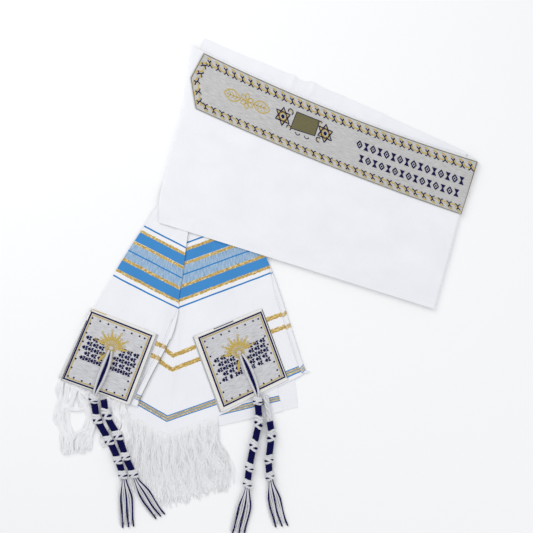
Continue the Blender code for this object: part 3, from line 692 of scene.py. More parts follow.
def cord_material(name, dark, light, sheen, specular, glow=0.0):
    """Two-ply cord with a slanted wave as its twist and painted shade in its grooves. glow is emission:
    painted light for light scattered in fine threads.
    """
    material, tree, shader, place = plain_material(name, 0.8, sheen=sheen)
    shader.inputs["Emission Color"].default_value = (0.95, 0.96, 0.98, 1)
    shader.inputs["Emission Strength"].default_value = glow
    shader.inputs["Specular IOR Level"].default_value = specular
    wave = tree.nodes.new("ShaderNodeTexWave")
    wave.bands_direction = "DIAGONAL"
    wave.inputs["Scale"].default_value = 330.0
    wave.inputs["Distortion"].default_value = 0.8
    tree.links.new(place, wave.inputs["Vector"])
    fibres = noise_node(tree, place, 1500.0)
    height = math_node(tree, "ADD", wave.outputs["Fac"], math_node(tree, "MULTIPLY", fibres, 0.4))
    # The colour goes darker where the twist is low: painted shade in the grooves between the plies.
    colour = mix_colour(tree, remap(tree, height, 0.2, 1.1), dark, light)
    tree.links.new(colour, shader.inputs["Base Color"])
    add_bump(tree, shader, height, 0.6, 0.0004)
    return material


silver_weave = silver_material("silver_woven_band", (0.37, 0.37, 0.36), (0.64, 0.63, 0.62))
patch_weave = silver_material("silver_woven_patch", (0.4, 0.4, 0.415), (0.74, 0.74, 0.76))
cream_thread = embroidery_material("cream_edge_thread", (0.76, 0.74, 0.69), (0.93, 0.92, 0.88), roughness=0.8)
navy_thread = embroidery_material(
    "navy_embroidery", (0.004, 0.004, 0.04), (0.008, 0.008, 0.075), specular=0.1
)
gold_thread = embroidery_material("gold_embroidery", (0.38, 0.26, 0.04), (0.72, 0.56, 0.18), 0.25, 0.45)
olive_thread = embroidery_material("olive_embroidery", (0.1, 0.09, 0.04), (0.21, 0.19, 0.09), 0.2, 0.5)
# Each cord's dark colour is painted shade in its grooves. The fringe yarn's last value is its glow, painted
# light.
white_cord = cord_material("white_tassel_cord", (0.5, 0.51, 0.54), (0.9, 0.9, 0.91), 0.25, 0.2)
navy_cord = cord_material("navy_tassel_cord", (0.002, 0.002, 0.03), (0.006, 0.006, 0.11), 0.0, 0.1)
fringe_yarn = cord_material("white_fringe_yarn", (0.84, 0.84, 0.86), (0.97, 0.97, 0.97), 0.4, 0.2, 0.1)
stitch_thread = embroidery_material("white_stitch_thread", (0.6, 0.61, 0.64), (0.84, 0.84, 0.86))
print("finishes:", len(bpy.data.materials))

# %% [markdown]
# ## Sheets of cloth
# Real cloth is much thinner than it is wide, so each sheet is a fine grid bent to the stack's heights and
# then given its thickness downwards. The grid is fine enough for the soft creases to shade smoothly.

# %% A grid with a map
VISIBLE_WALL = 0.8


def grid_piece(name, upper, lower, map_points, material):
    """A closed thin shell from two grids of points in mm, with its map in metres."""
    rows, columns = upper.shape[:2]
    count = rows * columns
    index = np.arange(count).reshape(rows, columns)
    a, b = index[:-1, :-1].ravel(), index[:-1, 1:].ravel()
    c, d = index[1:, 1:].ravel(), index[1:, :-1].ravel()
    faces = [np.stack([a, d, c, b], axis=1), np.stack([a, b, c, d], axis=1) + count]
    rim = np.concatenate([index[0, :], index[1:, -1], index[-1, -2::-1], index[-2:0:-1, 0]])
    after = np.roll(rim, -1)
    faces.append(np.stack([rim, after, after + count, rim + count], axis=1))
    faces = np.concatenate(faces)
    points = np.concatenate([upper.reshape(-1, 3), lower.reshape(-1, 3)]) * MM
    mesh = bpy.data.meshes.new(name)
    mesh.from_pydata(points.tolist(), [], faces.tolist())
    flat = np.concatenate([map_points.reshape(-1, 2)] * 2)
    corner_vertex = np.empty(len(mesh.loops), dtype=np.int32)
    mesh.loops.foreach_get("vertex_index", corner_vertex)
    cloth_map = mesh.uv_layers.new(name="cloth_map")
    cloth_map.data.foreach_set("uv", (flat[corner_vertex] * MM).ravel())
    mesh.shade_smooth()
    mesh.set_sharp_from_angle(angle=math.radians(60))
    mesh.materials.append(material)
    piece = add_object(name, mesh)
    turn_outwards(piece)
    return piece


def turn_outwards(piece):
    """Turns every face of a closed shell outwards."""
    bm = bmesh.new()
    bm.from_mesh(piece.data)
    bmesh.ops.recalc_face_normals(bm, faces=bm.faces)
    if bm.calc_volume(signed=True) < 0:
        bmesh.ops.reverse_faces(bm, faces=bm.faces)
    bm.to_mesh(piece.data)
    bm.free()


def shares_grid(columns, rows):
    """Shares across and along for a grid of points."""
    u, t = np.meshgrid(np.linspace(0, 1, columns + 1), np.linspace(0, 1, rows + 1))
    return u.ravel(), t.ravel()


def plan_distance(sheet, start, end):
    """The plan distance between two places on a sheet, each its shares across and along."""
    here, there = sheet.points(*np.array([start, end]).T)
    return np.linalg.norm(there - here)


def cloth_piece(name, sheet, columns, rows, material, runs=None, thickness=VISIBLE_WALL):
    """A sheet of the stack as a thin shell. runs gives the map's distance along the cloth at each station."""
    u, t = shares_grid(columns, rows)
    spots = sheet.points(u, t)
    top = sheet.top(spots)
    upper = np.column_stack([spots, top])
    lower = np.column_stack([spots, top - thickness])
    width = plan_distance(sheet, (0.0, 0.5), (1.0, 0.5))
    if runs is None:
        along = t * plan_distance(sheet, (0.5, 0.0), (0.5, 1.0))
    else:
        along = sheet.across(along_spline(runs, t), u)
    map_points = np.column_stack([u * width, along])
    shape = (rows + 1, columns + 1)
    return grid_piece(
        name, upper.reshape(*shape, 3), lower.reshape(*shape, 3), map_points.reshape(*shape, 2), material
    )


# %% The two ends and the layer behind
rear_piece = cloth_piece("rear_cloth", rear, 24, 180, white_cloth)
right_under_piece = cloth_piece("right_end_under_cloth", right_under, 50, 120, white_cloth)
right_fold_piece = cloth_piece(
    "right_end_fold_cloth", right_fold, 44, 120, striped_cloth, runs_of(RIGHT_FOLD_ROWS), 0.35
)
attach(right_fold_piece, "root")
right_piece = cloth_piece("right_end_cloth", right_end, 88, 130, striped_cloth, RIGHT_END_RUNS)
left_under_piece = cloth_piece(
    "left_end_under_cloth", left_under, 40, 120, white_cloth, runs_of(LEFT_UNDER_ROWS)
)
left_piece = cloth_piece("left_end_cloth", left_end, 50, 140, striped_cloth, runs_of(LEFT_END_ROWS))
for piece, node in (
    (rear_piece, "rear_layer"),
    (right_under_piece, "right_end_under"),
    (right_piece, "right_end"),
    (left_under_piece, "left_end_under"),
    (left_piece, "left_end"),
):
    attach(piece, "root")
    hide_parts(node)
    print(piece.name, "points:", len(piece.data.vertices))

# %% [markdown]
# ## The folded body
# The middle of the shawl is one sheet that turns under at its left edge, runs across the stack, turns round
# the right fold and comes back along the table. Every row is walked in that order: curl, top, roll, under.

# %% The folded body
FOLD_STRETCHES = [("curl", 8), ("top", 150), ("roll", 14), ("under", 60)]
BODY_DEPTH = 275.0
BODY_LINES = 111
EDGE_MARGIN = 4.0
UNDER_MARGIN = 16.0


def body_row(t):
    """Left ends, unit directions, lengths, sags and curls of rows at shares t down the body."""
    values = along_spline([tuple(row) for row in BODY_ROWS], t)
    left, right = values[:, 0:2], values[:, 2:4]
    length = np.linalg.norm(right - left, axis=1)
    return left, (right - left) / length[:, None], length, values[:, 4], values[:, 5]


def body_plan(t, along):
    """Plan points at distances along rows."""
    left, way, length, sag, _ = body_row(t)
    share = along / length
    return left + way * along[:, None] - sideways(way) * (sag * 4 * share * (1 - share))[:, None]


BODY_SUPPORTS = [core, left_end, left_under, right_end, right_under, body_under]


def inner_height(spots):
    """Heights of the upper face's underside."""
    resting = np.maximum(CORE_TOP + LIFT, resting_height(spots, BODY_SUPPORTS))
    return resting + crease_height(spots, BODY_CREASES)


def top_pair(t, along):
    """Inner points of the upper face, and their normals."""
    spots = body_plan(t, along)
    step = 2.0
    z = inner_height(spots)
    slope_x = (inner_height(spots + [step, 0]) - inner_height(spots - [step, 0])) / (2 * step)
    slope_y = (inner_height(spots + [0, step]) - inner_height(spots - [0, step])) / (2 * step)
    normal = np.stack([-slope_x, -slope_y, np.ones(len(spots))], axis=1)
    return np.column_stack([spots, z]), unit(normal)


def roll_radius(t, length):
    """The right fold's radius: half the stack's height there."""
    return (top_pair(t, length - EDGE_MARGIN)[0][:, 2] + CLOTH) / 2


def body_station(kind, share, t):
    """Inner points and outward normals at a share of one stretch, for every row in t."""
    _, way, length, _, curl = body_row(t)
    radius = roll_radius(t, length)
    across = np.column_stack([way, np.zeros(len(t))])
    rise = np.array([0.0, 0.0, 1.0])
    if kind == "curl":
        edge, _ = top_pair(t, np.full(len(t), EDGE_MARGIN))
        small = np.maximum((edge[:, 2] + CLOTH - 0.4) / 2, CLOTH + 0.6)
        turn = np.radians(curl * (1 - share))
        normal = -across * np.sin(turn)[:, None] + rise * np.cos(turn)[:, None]
        centre = edge - rise * (small - CLOTH)[:, None]
        return centre + normal * (small - CLOTH)[:, None], normal
    if kind == "top":
        return top_pair(t, EDGE_MARGIN + share * (length - radius - EDGE_MARGIN))
    if kind == "roll":
        turn = math.pi * share
        normal = across * math.sin(turn) + rise * math.cos(turn)
        centre = np.column_stack([body_plan(t, length - radius), radius])
        return centre + normal * (radius - CLOTH)[:, None], normal
    spots = body_plan(0.02 + 0.94 * t, (length - radius) * (1 - share) + UNDER_MARGIN * share)
    return np.column_stack([spots, np.full(len(t), CLOTH)]), np.tile([0.0, 0.0, -1.0], (len(t), 1))


def lengths_along(points):
    """Running lengths along each row of a grid of points."""
    steps = np.linalg.norm(np.diff(points, axis=1), axis=2)
    return np.concatenate([np.zeros((len(points), 1)), np.cumsum(steps, axis=1)], axis=1)


ROW_SHARES = np.linspace(0, 1, BODY_LINES)
body_inner, body_normals = [], []
for kind, count in FOLD_STRETCHES:
    for i in range(0 if kind == "curl" else 1, count + 1):
        inner, normal = body_station(kind, i / count, ROW_SHARES)
        body_inner.append(inner)
        body_normals.append(normal)
body_inner = np.stack(body_inner, axis=1)
body_normals = np.stack(body_normals, axis=1)
body_run = lengths_along(body_inner)
body_down = np.repeat(ROW_SHARES[:, None] * BODY_DEPTH, body_run.shape[1], axis=1)
body_piece = grid_piece(
    "body_cloth",
    body_inner + body_normals * CLOTH,
    body_inner + body_normals * (CLOTH - VISIBLE_WALL),
    np.stack([body_run, body_down], axis=2),
    white_cloth,
)
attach(body_piece, "root")
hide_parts("shawl_body")
print("body's path across, mm:", round(float(body_run[:, -1].mean()), 1))

# %% [markdown]
# ## The layers inside the fold
# Between the body's two faces lie more folded layers. Only their rounded edges can be seen, so they are one
# form whose rim is a stack of small half-round folds.

# %% The inner folds
FOLD_COUNT = 3
NOSE_STEPS = 6
NOSE_DEPTH = 0.9
FOLD_STEP_BACK = 0.35
fold_height = (CORE_TOP - CORE_FLOOR) / FOLD_COUNT
down, across = np.linspace(0, 1, 60), np.linspace(0, 1, 80)
core_outline = np.vstack(
    [
        core.points(np.zeros(60), down),
        core.points(across, np.ones(80))[1:-1],
        core.points(np.ones(60), down[::-1]),
        core.points(np.linspace(1, 0, 80), np.zeros(80))[1:-1],
    ]
)
core_inward = sideways(unit(np.roll(core_outline, -1, axis=0) - np.roll(core_outline, 1, axis=0)))
fold_bm = bmesh.new()
fold_rings = []
for fold in range(FOLD_COUNT):
    for step in range(NOSE_STEPS + 1):
        turn = math.pi * step / NOSE_STEPS
        inset = NOSE_DEPTH * (1 - math.sin(turn)) + FOLD_STEP_BACK * fold
        ring = core_outline + core_inward * inset
        z = CORE_FLOOR + fold_height * (fold + (1 - math.cos(turn)) / 2 * 0.96 + 0.02)
        fold_rings.append([fold_bm.verts.new(metres(x, y, z)) for x, y in ring])
for low, high in zip(fold_rings, fold_rings[1:]):
    for i in range(len(low)):
        j = (i + 1) % len(low)
        fold_bm.faces.new((low[i], low[j], high[j], high[i]))
fold_bm.faces.new(fold_rings[0][::-1])
fold_bm.faces.new(fold_rings[-1])
bmesh.ops.triangulate(fold_bm, faces=[face for face in fold_bm.faces if len(face.verts) > 4])
fold_mesh = bpy.data.meshes.new("inner_folds")
fold_map = fold_bm.loops.layers.uv.new("cloth_map")
for face in fold_bm.faces:
    for loop in face.loops:
        loop[fold_map].uv = (loop.vert.co.x, loop.vert.co.y + loop.vert.co.z * 4)
fold_bm.to_mesh(fold_mesh)
fold_bm.free()
fold_mesh.shade_smooth()
fold_mesh.set_sharp_from_angle(angle=math.radians(50))
fold_mesh.materials.append(white_cloth)
inner_folds = add_object("inner_folds", fold_mesh)
turn_outwards(inner_folds)
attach(inner_folds, "root")
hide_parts("folded_layers")
print("inner folds:", FOLD_COUNT)

# %% [markdown]
# ## Turned hems
# The long edges of the cloth are turned under and stitched. Each hem is a narrow strip laid along the
# panel's right edge, widening from where it shows.

# %% Turned hems
HEM_ROWS = 110


def right_edge(panel, t):
    """Plan points on a panel's right edge, and the directions inwards from them."""
    edge = panel.points(np.ones(len(t)), t)
    return edge, unit(panel.points(np.full(len(t), 0.5), t) - edge)


def hem_piece(name, panel, first_share, width, runs):
    """A hem strip along a panel's right edge, with the panel's own stripes."""
    t = np.linspace(first_share, 1.0, HEM_ROWS + 1)
    edge, inward = right_edge(panel, t)
    reach = width * (0.25 + 0.75 * smooth_step((t - first_share) / 0.13))
    shares = np.array([0.0, 0.04, 0.35, 0.65, 0.96, 1.0])
    crown = np.array([0.0, 0.3, 0.45, 0.45, 0.3, 0.0])
    sheet = Sheet(panel.sections, [panel], bridge=3.0)
    upper = []
    for share, bulge in zip(shares, crown):
        spots = edge + inward * (0.2 + (reach - 0.2) * (1 - share))[:, None]
        z = sheet.underside(spots) + 0.55 + bulge
        upper.append(np.column_stack([spots, z]))
    upper = np.stack(upper, axis=1)
    lower = upper.copy()
    lower[:, :, 2] -= np.array([0.5, 0.6, 0.6, 0.6, 0.6, 0.5])
    edge_run = panel.across(along_spline(runs, t), np.ones(HEM_ROWS + 1))
    inner_run = panel.across(along_spline(runs, t), np.full(HEM_ROWS + 1, 0.92))
    run = edge_run[:, None] + (inner_run - edge_run)[:, None] * (1 - shares)[None, :]
    map_points = np.stack([np.repeat(shares[None, :] * width, HEM_ROWS + 1, axis=0), run], axis=2)
    return grid_piece(name, upper, lower, map_points, hem_cloth)


hem_left_piece = hem_piece("left_end_hem", left_end, 13 / 24, 9.0, runs_of(LEFT_END_ROWS))
hem_right_piece = hem_piece("right_end_hem", right_end, 7 / 22, 7.5, RIGHT_END_RUNS)
for piece, node in ((hem_left_piece, "hem_left"), (hem_right_piece, "hem_right")):
    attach(piece, "root")
    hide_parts(node)
print("hems:", hem_left_piece.name, hem_right_piece.name)

# %% [markdown]
# ## The neckband
# The neckband is laid along the body's upper edge and turns with it round the right fold. It starts in a
# point. Its own flat coordinates, along and down in millimetres, are kept for placing the embroidery.

# %% The neckband
BAND_TOP = 0.004
BAND_DEPTH = 0.2
BAND_REACH = 430.0
BAND_ROLL = 0.62
BAND_TIP = 0.5
BAND_START = 0.001
BAND_POINT = 0.035
BAND_WALL = 1.0
BAND_ROWS = 28
BAND_COLUMNS = 190
BAND_ROLL_COLUMNS = 10
band_shares = np.linspace(0, 1, BAND_ROWS + 1)
band_start = BAND_START + BAND_POINT * np.abs(band_shares - BAND_TIP) / 0.5
band_inner, band_normals = [], []
for column in range(BAND_COLUMNS + BAND_ROLL_COLUMNS + 1):
    t = BAND_TOP + BAND_DEPTH * band_shares
    if column <= BAND_COLUMNS:
        share = band_start + (1 - band_start) * column / BAND_COLUMNS
        inner, normal = body_station("top", share, t)
    else:
        share = BAND_ROLL * (column - BAND_COLUMNS) / BAND_ROLL_COLUMNS
        inner, normal = body_station("roll", share, t)
    band_inner.append(inner)
    band_normals.append(normal)
band_inner = np.stack(band_inner, axis=1)
band_normals = np.stack(band_normals, axis=1)
band_edges = body_plan(np.array([BAND_TOP, BAND_TOP + BAND_DEPTH]), np.array([200.0, 200.0]))
BAND_WIDTH = float(np.linalg.norm(band_edges[0] - band_edges[1]))
band_run = lengths_along(band_inner) + (band_start * BAND_REACH)[:, None]
band_down = np.repeat(band_shares[:, None] * BAND_WIDTH, band_run.shape[1], axis=1)
band_piece = grid_piece(
    "neckband_weave",
    band_inner + band_normals * (CLOTH + LIFT + BAND_WALL),
    band_inner + band_normals * (CLOTH + LIFT + 0.2),
    np.stack([band_run, band_down], axis=2),
    silver_weave,
)
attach(band_piece, "root")
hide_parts("neckband")
print("neckband, mm:", round(float(band_run.max())), "by", round(BAND_WIDTH, 1))


# %% [markdown]
# ## Corner patches
# A patch is a square of the same silver weave, stitched on at each corner where the tassel passes through.
# It has a cream woven margin, a navy and a gold line, and small dots set round its edge.

# %% Patches
patch_left_piece = cloth_piece("left_patch_weave", patch_left, 60, 64, patch_weave)
patch_under_piece = cloth_piece("left_patch_under_weave", patch_under, 50, 50, patch_weave)
patch_right_piece = cloth_piece("right_patch_weave", patch_right, 66, 66, patch_weave)
for piece, node in (
    (patch_left_piece, "patch_left"),
    (patch_under_piece, "patch_left_under"),
    (patch_right_piece, "patch_right"),
):
    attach(piece, "root")
    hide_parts(node)
print("patches:", patch_left_piece.name, patch_under_piece.name, patch_right_piece.name)

# %% [markdown]
# ## Laying flat drawings on the cloth
# Embroidery is easiest to draw flat, in millimetres across and down its piece. The whole drawing is then
# laid on the curved cloth in one step: each point keeps its own small height above the weave.

# %% Surfaces that take a flat drawing
class BandSurface:
    """Places points, in mm along and down the neckband, above its upper face."""

    def place(self, points):
        t = BAND_TOP + BAND_DEPTH * np.clip(points[:, 1] / BAND_WIDTH, 0, 1)
        _, way, length, _, _ = body_row(t)
        radius = roll_radius(t, length)
        straight = length - radius - EDGE_MARGIN
        lift = (CLOTH + LIFT + BAND_WALL + points[:, 2])[:, None]
        inner, normal = top_pair(t, EDGE_MARGIN + np.minimum(points[:, 0], straight))
        turn = np.minimum(np.maximum(points[:, 0] - straight, 0) / radius, BAND_ROLL * math.pi)[:, None]
        across = np.column_stack([way, np.zeros(len(t))])
        round_fold = across * np.sin(turn) + np.array([0.0, 0.0, 1.0]) * np.cos(turn)
        centre = np.column_stack([body_plan(t, length - radius), radius])
        rolled = centre + round_fold * (radius[:, None] - CLOTH + lift)
        return np.where(points[:, 0:1] > straight[:, None], rolled, inner + normal * lift)


class PatchSurface:
    """Places points, in mm across and down a patch, above its upper face."""

    def __init__(self, corners, sheet):
        self.corners = np.asarray(corners, float)
        self.sheet = sheet
        self.width = float(np.linalg.norm(self.corners[1] - self.corners[0]))
        self.height = float(np.linalg.norm(self.corners[3] - self.corners[0]))

    def place(self, points):
        u, v = points[:, 0:1] / self.width, points[:, 1:2] / self.height
        top_left, top_right, bottom_right, bottom_left = self.corners
        upper = top_left + (top_right - top_left) * u
        spots = upper * (1 - v) + (bottom_left + (bottom_right - bottom_left) * u) * v
        return np.column_stack([spots, self.sheet.top(spots) + points[:, 2]])


band_surface = BandSurface()
left_surface = PatchSurface(PATCH_LEFT, patch_left)
right_surface = PatchSurface(PATCH_RIGHT, patch_right)


# %% Drawing with raised thread
SUNK = -0.1


class Drawing:
    """Strokes and filled shapes, drawn flat in mm, with a small height."""

    def __init__(self, lift=0.22):
        self.lift = lift
        self.points = []
        self.faces = []

    def stroke(self, line, width, closed=False, lift=None):
        """A flat line of thread with its width in mm."""
        line = np.asarray(line, float)
        if closed:
            ahead = np.roll(line, -1, axis=0) - np.roll(line, 1, axis=0)
        else:
            ahead = np.gradient(line, axis=0)
        ahead /= np.maximum(np.linalg.norm(ahead, axis=1), 1e-9)[:, None]
        side = sideways(ahead) * width / 2
        first, count = len(self.points), len(line)
        high = self.lift if lift is None else lift
        for spot, reach in zip(line, side):
            for share, z in ((-1.0, SUNK), (-0.75, high), (0.75, high), (1.0, SUNK)):
                self.points.append((*(spot + reach * share), z))
        for i in range(count if closed else count - 1):
            low, after = first + 4 * i, first + 4 * ((i + 1) % count)
            self.faces += [(low + k, low + (k + 1) % 4, after + (k + 1) % 4, after + k) for k in range(4)]
        if not closed:
            self.faces.append((first + 3, first + 2, first + 1, first))
            last = first + 4 * (count - 1)
            self.faces.append((last, last + 1, last + 2, last + 3))

    def shape(self, outline, lift=None):
        """A filled shape, worked outwards from its middle."""
        outline = np.asarray(outline, float)
        middle = outline.mean(axis=0)
        first, count = len(self.points), len(outline)
        high = self.lift if lift is None else lift
        for spot in outline:
            self.points.append((*spot, SUNK))
        for spot in middle + (outline - middle) * 0.92:
            self.points.append((*spot, high))
        self.points += [(*middle, high + 0.08), (*middle, SUNK)]
        peak, base = first + 2 * count, first + 2 * count + 1
        for i in range(count):
            j = (i + 1) % count
            a, b, c, d = first + i, first + j, first + count + j, first + count + i
            self.faces += [(a, b, c, d), (d, c, peak), (b, a, base)]

    def mesh(self, name, material):
        """The drawing as a flat mesh in metres."""
        mesh = bpy.data.meshes.new(name)
        mesh.from_pydata((np.array(self.points) * MM).tolist(), [], self.faces)
        mesh.materials.append(material)
        return mesh


def lay_on(surface, mesh, name):
    """Lays a flat mesh, in metres, on a surface and gives the finished piece."""
    flat = np.empty(len(mesh.vertices) * 3)
    mesh.vertices.foreach_get("co", flat)
    placed = surface.place(flat.reshape(-1, 3) / MM) * MM
    mesh.vertices.foreach_set("co", placed.ravel())
    mesh.update()
    piece = add_object(name, mesh)
    turn_outwards(piece)
    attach(piece, "root")
    return piece


def embroider(surface, drawing, name, thread):
    """A drawing worked in one thread on a surface."""
    return lay_on(surface, drawing.mesh(name, thread), name)


# %% Shapes used in the embroidery
def arc(centre, radius, start, end, count, squash=1.0):
    """Points round part of an ellipse, angles in degrees."""
    turn = np.radians(np.linspace(start, end, count))
    return np.stack([centre[0] + radius * np.cos(turn), centre[1] + radius * squash * np.sin(turn)], axis=1)


def straight_line(start, end, step=3.0):
    """Evenly spaced points from start to end."""
    start, end = np.asarray(start, float), np.asarray(end, float)
    count = max(int(np.linalg.norm(end - start) / step), 1) + 1
    return start + (end - start) * np.linspace(0, 1, count)[:, None]


def direction(degrees):
    """A plan direction at an angle from the x axis."""
    angle = math.radians(degrees)
    return np.array([math.cos(angle), math.sin(angle)])


def closed_line(corners, step=3.0):
    """Evenly spaced points round a closed line of corners."""
    return np.vstack([straight_line(a, b, step)[:-1] for a, b in zip(corners, corners[1:] + corners[:1])])


def leaf(base, tip, width, count=7):
    """A pointed leaf between two points."""
    base, tip = np.asarray(base, float), np.asarray(tip, float)
    way = tip - base
    side = sideways(way) / np.linalg.norm(way)
    share = np.linspace(0, 1, count)
    bulge = np.sin(np.pi * share) ** 0.8 * width / 2
    there = base + way * share[:, None] + side * bulge[:, None]
    back = base + way * share[::-1, None][1:-1] - side * bulge[::-1, None][1:-1]
    return np.vstack([there, back])


# %% [markdown]
# ## Rows of small motifs
# Dots, scrolls and stitches repeat along a line at an even pitch. Geometry Nodes suits this: it walks the
# line, sets a copy of a motif at each step and turns it to the line. The row is made flat and then laid on
# the cloth, so it bends with it.

# %% The motif row, in Geometry Nodes
motif_row, row_start, row_end = new_group(
    "motif_row",
    [
        ("Line", "NodeSocketGeometry"),
        ("Motif", "NodeSocketObject"),
        ("Spacing", "NodeSocketFloat"),
        ("Wander", "NodeSocketFloat"),
        ("Material", "NodeSocketMaterial"),
    ],
    [("Row", "NodeSocketGeometry")],
    "GeometryNodeTree",
)


def add_node(tree, kind, inputs=None, **settings):
    """Adds a node, with its settings and its inputs joined or set."""
    node = tree.nodes.new(kind)
    for label, value in settings.items():
        setattr(node, label, value)
    for label, value in (inputs or {}).items():
        link_value(tree, value, node.inputs[label])
    return node


def realize_and_paint(tree, copies, material, end):
    """Turns copies into plain geometry, sets their material and joins them to the tree's end."""
    real = add_node(tree, "GeometryNodeRealizeInstances", {"Geometry": copies}).outputs["Geometry"]
    painted = add_node(tree, "GeometryNodeSetMaterial", {"Geometry": real, "Material": material})
    tree.links.new(painted.outputs["Geometry"], end.inputs[0])


row_in = row_start.outputs
curve = add_node(motif_row, "GeometryNodeMeshToCurve", {"Mesh": row_in["Line"]}).outputs["Curve"]
steps_along = add_node(
    motif_row, "GeometryNodeCurveToPoints", {"Curve": curve, "Length": row_in["Spacing"]}, mode="LENGTH"
).outputs
turn = add_node(
    motif_row,
    "FunctionNodeAlignRotationToVector",
    {"Vector": steps_along["Tangent"]},
    axis="X",
    pivot_axis="Z",
).outputs["Rotation"]
wander = add_node(motif_row, "FunctionNodeRandomValue", {"Seed": 7}, data_type="FLOAT_VECTOR")
wander.inputs["Min"].default_value = (-1, -1, 0)
wander.inputs["Max"].default_value = (1, 1, 0)
wander_by = add_node(motif_row, "ShaderNodeVectorMath", operation="SCALE")
motif_row.links.new(wander.outputs["Value"], wander_by.inputs[0])
motif_row.links.new(row_in["Wander"], wander_by.inputs["Scale"])
shifted = add_node(
    motif_row,
    "GeometryNodeSetPosition",
    {"Geometry": steps_along["Points"], "Offset": wander_by.outputs[0]},
).outputs["Geometry"]
motif = add_node(motif_row, "GeometryNodeObjectInfo", {"Object": row_in["Motif"]}).outputs["Geometry"]
placed = add_node(
    motif_row, "GeometryNodeInstanceOnPoints", {"Points": shifted, "Instance": motif, "Rotation": turn}
).outputs["Instances"]
realize_and_paint(motif_row, placed, row_in["Material"], row_end)


def run_nodes(name, mesh, tree, values):
    """Runs a Geometry Nodes tree on a mesh, and gives the result as a plain mesh."""
    source = add_object(name + "_source", mesh)
    modifier = source.modifiers.new(name, "NODES")
    modifier.node_group = tree
    for item in tree.interface.items_tree:
        if item.item_type == "SOCKET" and item.in_out == "INPUT" and item.name in values:
            modifier[item.identifier] = values[item.name]
    graph = bpy.context.evaluated_depsgraph_get()
    made = bpy.data.meshes.new_from_object(
        source.evaluated_get(graph), preserve_all_data_layers=True, depsgraph=graph
    )
    source.modifiers.remove(modifier)
    bpy.data.objects.remove(source)
    made.name = name
    return made


def line_mesh(name, lines):
    """A mesh of plain edges through flat lines in mm."""
    points, edges = [], []
    for line, closed in lines:
        first = len(points)
        points += [(x * MM, y * MM, 0.0) for x, y in line]
        edges += [(first + i, first + i + 1) for i in range(len(line) - 1)]
        if closed:
            edges.append((first + len(line) - 1, first))
    mesh = bpy.data.meshes.new(name)
    mesh.from_pydata(points, edges, [])
    return mesh


def motif_rows(name, surface, lines, drawing, spacing, material, wander=0.0):
    """Copies of a drawing along flat lines, laid on a surface."""
    motif_object = add_object(name + "_motif", drawing.mesh(name + "_motif", material))
    row = run_nodes(
        name,
        line_mesh(name + "_line", lines),
        motif_row,
        {"Motif": motif_object, "Spacing": spacing * MM, "Wander": wander * MM, "Material": material},
    )
    bpy.data.objects.remove(motif_object)
    piece = lay_on(surface, row, name)
    print(name, "faces:", len(row.polygons))
    return piece


# %% [markdown]
# ## Embroidery on the patches
# A cream margin, a navy line and a gold line frame each patch. The middle carries a gold fan of rays round
# the eyelet, over short rows of navy lozenges and hourglasses. Every shape is a raised, flat thread, as a
# jacquard loom or a sewing machine lays it.

# %% Patch margins, lines and dots
PatchTrim = namedtuple("PatchTrim", "label left top right bottom dot_left dot_top dot_right dot_bottom")
PATCH_TRIMS = [
    PatchTrim("left_patch", 2.6, 4.8, 5.2, 4.0, 4.4, 7.4, 8.0, 5.6),
    PatchTrim("right_patch", 6.4, 4.6, 3.4, 5.8, 6.4, 8.0, 7.0, 5.4),
]
PATCH_SURFACES = {"left_patch": left_surface, "right_patch": right_surface}
GOLD_INSIDE = 3.1
RIB_COUNT = 4
RIB_PITCH = 1.35
DOT_STEPS = 7


def framed(surface, left, top, right, bottom):
    """The corners of a rectangle inside a patch, with an inset at each side."""
    w, h = surface.width - right, surface.height - bottom
    return [(left, top), (w, top), (w, h), (left, h)]


def grown(insets, by):
    """Four insets, each moved inwards."""
    return [inset + by for inset in insets]


dot = Drawing(0.34)
dot.shape(arc((0, 0), 1.5, 0, 300, 6))
patch_trims = {"left_patch": [], "right_patch": []}
for trim in PATCH_TRIMS:
    label, surface = trim.label, PATCH_SURFACES[trim.label]
    insets = trim[1:5]
    margin = Drawing(0.3)
    for rib in range(RIB_COUNT):
        shrink = [max(inset - 0.9 - RIB_PITCH * (rib + 0.5), 0.7) for inset in insets]
        margin.stroke(closed_line(framed(surface, *shrink)), 1.3, closed=True, lift=0.3 + 0.03 * (rib % 2))
    navy_line = Drawing(0.42)
    navy_line.stroke(closed_line(framed(surface, *insets)), 2.7, closed=True)
    gold_line = Drawing(0.34)
    gold_line.stroke(closed_line(framed(surface, *grown(insets, GOLD_INSIDE))), 1.6, closed=True)
    for kind, drawing, thread in (
        ("margin", margin, cream_thread),
        ("navy_line", navy_line, navy_thread),
        ("gold_line", gold_line, gold_thread),
    ):
        patch_trims[label].append(embroider(surface, drawing, label + "_" + kind, thread))
    corners = framed(surface, *[inset + gap for inset, gap in zip(insets, trim[5:])])
    for side in range(4):
        start, end = np.array(corners[side]), np.array(corners[(side + 1) % 4])
        pitch = np.linalg.norm(end - start) / DOT_STEPS
        line = [tuple(start), tuple(start + (end - start) * (DOT_STEPS - 0.7) / DOT_STEPS)]
        name = f"{label}_dots_{side}"
        patch_trims[label].append(motif_rows(name, surface, [(line, False)], dot, pitch, navy_thread, 0.35))
print("patch trims:", {label: len(trims) for label, trims in patch_trims.items()})

# %% A line at the fold of each upper rim
for label, start, end, thread in (("left_patch", 2, 24, gold_thread), ("right_patch", 31, 62, navy_thread)):
    rim_line = Drawing(0.7)
    rim_line.stroke(straight_line((start, 0.9), (end, 0.9)), 1.3)
    patch_trims[label].append(embroider(PATCH_SURFACES[label], rim_line, label + "_rim_line", thread))
print("rim lines:", len(PATCH_SURFACES))

